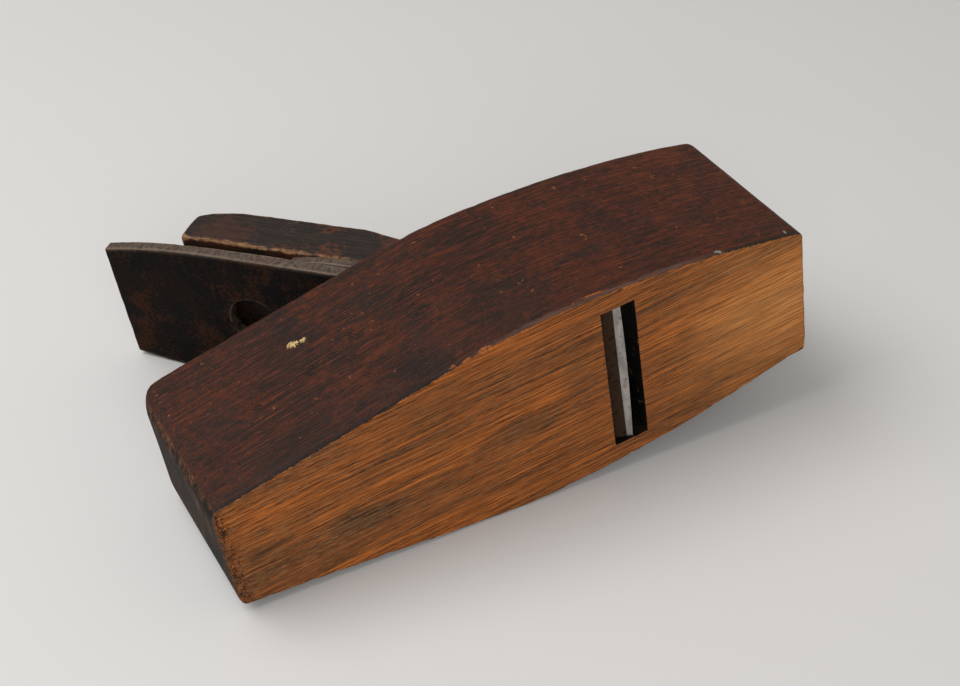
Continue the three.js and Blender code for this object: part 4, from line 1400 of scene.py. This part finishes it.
def finishPiece(piece, node, body, materials):
    # the faces keep the material numbers that the cuts gave them
    faceMaterials = np.zeros(len(piece.data.polygons), np.int32)
    piece.data.polygons.foreach_get("material_index", faceMaterials)
    piece.data.materials.clear()
    for material in materials:
        piece.data.materials.append(material)
    piece.data.polygons.foreach_set("material_index", np.minimum(faceMaterials, len(materials) - 1))
    shadeSmooth(piece)
    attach(piece, body)
    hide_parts(node)
    print("%s: %d faces" % (piece.name, len(piece.data.polygons)))


blockWood, throatPaintedShade = buildBlockWood(), buildThroatPaintedShade()
honedWidth = iron["honedLength"] * math.cos(math.radians(iron["honedAngle"]))
ironSteel = buildSteel("iron_steel", honedWidth)
capSteel, screwSteel = buildSteel("cap_steel"), buildSteel("screw_steel")
print("materials ready")

blockPiece = buildBlock()
blockPiece.data.materials.append(blockWood)
cutAway(blockPiece, throatCutters(), inner=throatPaintedShade)
easeEdges(blockPiece, 0.3)
setAttributes(blockPiece, planeFrame, blockMasks)
finishPiece(blockPiece, "stock", "stock", [blockWood, throatPaintedShade])
finishPiece(buildIron(), "cutting_iron", "cutting_iron", [ironSteel])
finishPiece(buildCap(), "cap_iron", "cap_iron", [capSteel])
finishPiece(buildBoss(), "cap_iron_boss", "cap_iron", [buildBrass()])
finishPiece(buildScrew(), "cap_iron_screw", "cap_iron_screw", [screwSteel])
finishPiece(buildWedge(), "wedge", "wedge", [buildWedgeWood()])


studio = {
    "floorColour": (0.62, 0.61, 0.60, 1),
    "floorShade": (0.5828, 0.5734, 0.564, 1),
    "floorSize": 6.0,
    "skyColour": (1.0, 0.975, 0.94, 1),
    "skyStrength": 0.40,
    "lightAim": (0, 0, 0.03),
    "softboxes": [("overhead_softbox", (-0.55, 0.25, 1.1), (1.0, 0.8), 12),
                  ("front_softbox", (-0.5, -1.2, 0.75), (0.9, 0.7), 8)],
    "cameraPlace": (-0.19507, -0.42858, 0.37474),
    "cameraAim": (0.00514, -0.02565, 0.03236),
    "cameraRoll": 2.04,
    "lens": 66.43,
}


def buildFloor():
    half = studio["floorSize"] / 2
    mesh = bpy.data.meshes.new("floor")
    corners = [(-half, -half, 0), (half, -half, 0), (half, half, 0), (-half, half, 0)]
    mesh.from_pydata(corners, [], [(0, 1, 2, 3)])
    floor = bpy.data.objects.new("floor", mesh)
    bpy.context.scene.collection.objects.link(floor)
    paper = bpy.data.materials.new("floor_paper")
    paper.use_nodes = True
    tree = paper.node_tree
    shader = tree.nodes["Principled BSDF"]
    coordinates = addNode(tree, "TexCoord").outputs["Object"]
    soft = addNode(tree, "TexNoise", {"Vector": coordinates, "Scale": 3.0, "Detail": 3.0}).outputs[0]
    shades = {0: soft, 6: studio["floorColour"], 7: studio["floorShade"]}
    tree.links.new(addNode(tree, "Mix", shades, data_type="RGBA").outputs[2], shader.inputs["Base Color"])
    shader.inputs["Roughness"].default_value = 0.7
    shader.inputs["Specular IOR Level"].default_value = 0.25
    mesh.materials.append(paper)


def addAreaLight(name, place, aim, size, power):
    light = bpy.data.lights.new(name, "AREA")
    light.shape, light.size, light.size_y, light.energy = "RECTANGLE", size[0], size[1], power
    lamp = bpy.data.objects.new(name, light)
    lamp.location = place
    lamp.rotation_euler = (Vector(aim) - Vector(place)).to_track_quat("-Z", "Y").to_euler()
    bpy.context.scene.collection.objects.link(lamp)


def buildLight():
    world = bpy.data.worlds.new("studio")
    world.use_nodes = True
    background = world.node_tree.nodes["Background"]
    background.inputs["Color"].default_value = studio["skyColour"]
    background.inputs["Strength"].default_value = studio["skyStrength"]
    bpy.context.scene.world = world
    for name, place, size, power in studio["softboxes"]:
        addAreaLight(name, place, studio["lightAim"], size, power)


def buildCamera():
    camera = bpy.data.cameras.new("camera")
    camera.lens, camera.sensor_width = studio["lens"], 36.0
    camera.clip_start, camera.clip_end = 0.01, 30.0
    stand = bpy.data.objects.new("camera", camera)
    place, aim = Vector(studio["cameraPlace"]), Vector(studio["cameraAim"])
    stand.location = place
    look = (aim - place).to_track_quat("-Z", "Y").to_matrix()
    stand.rotation_euler = (look @ Matrix.Rotation(math.radians(-studio["cameraRoll"]), 3, "Z")).to_euler()
    bpy.context.scene.collection.objects.link(stand)
    bpy.context.scene.camera = stand


buildFloor()
buildLight()
buildCamera()
bpy.context.scene.view_settings.view_transform = "Standard"
print("floor, light and camera ready")
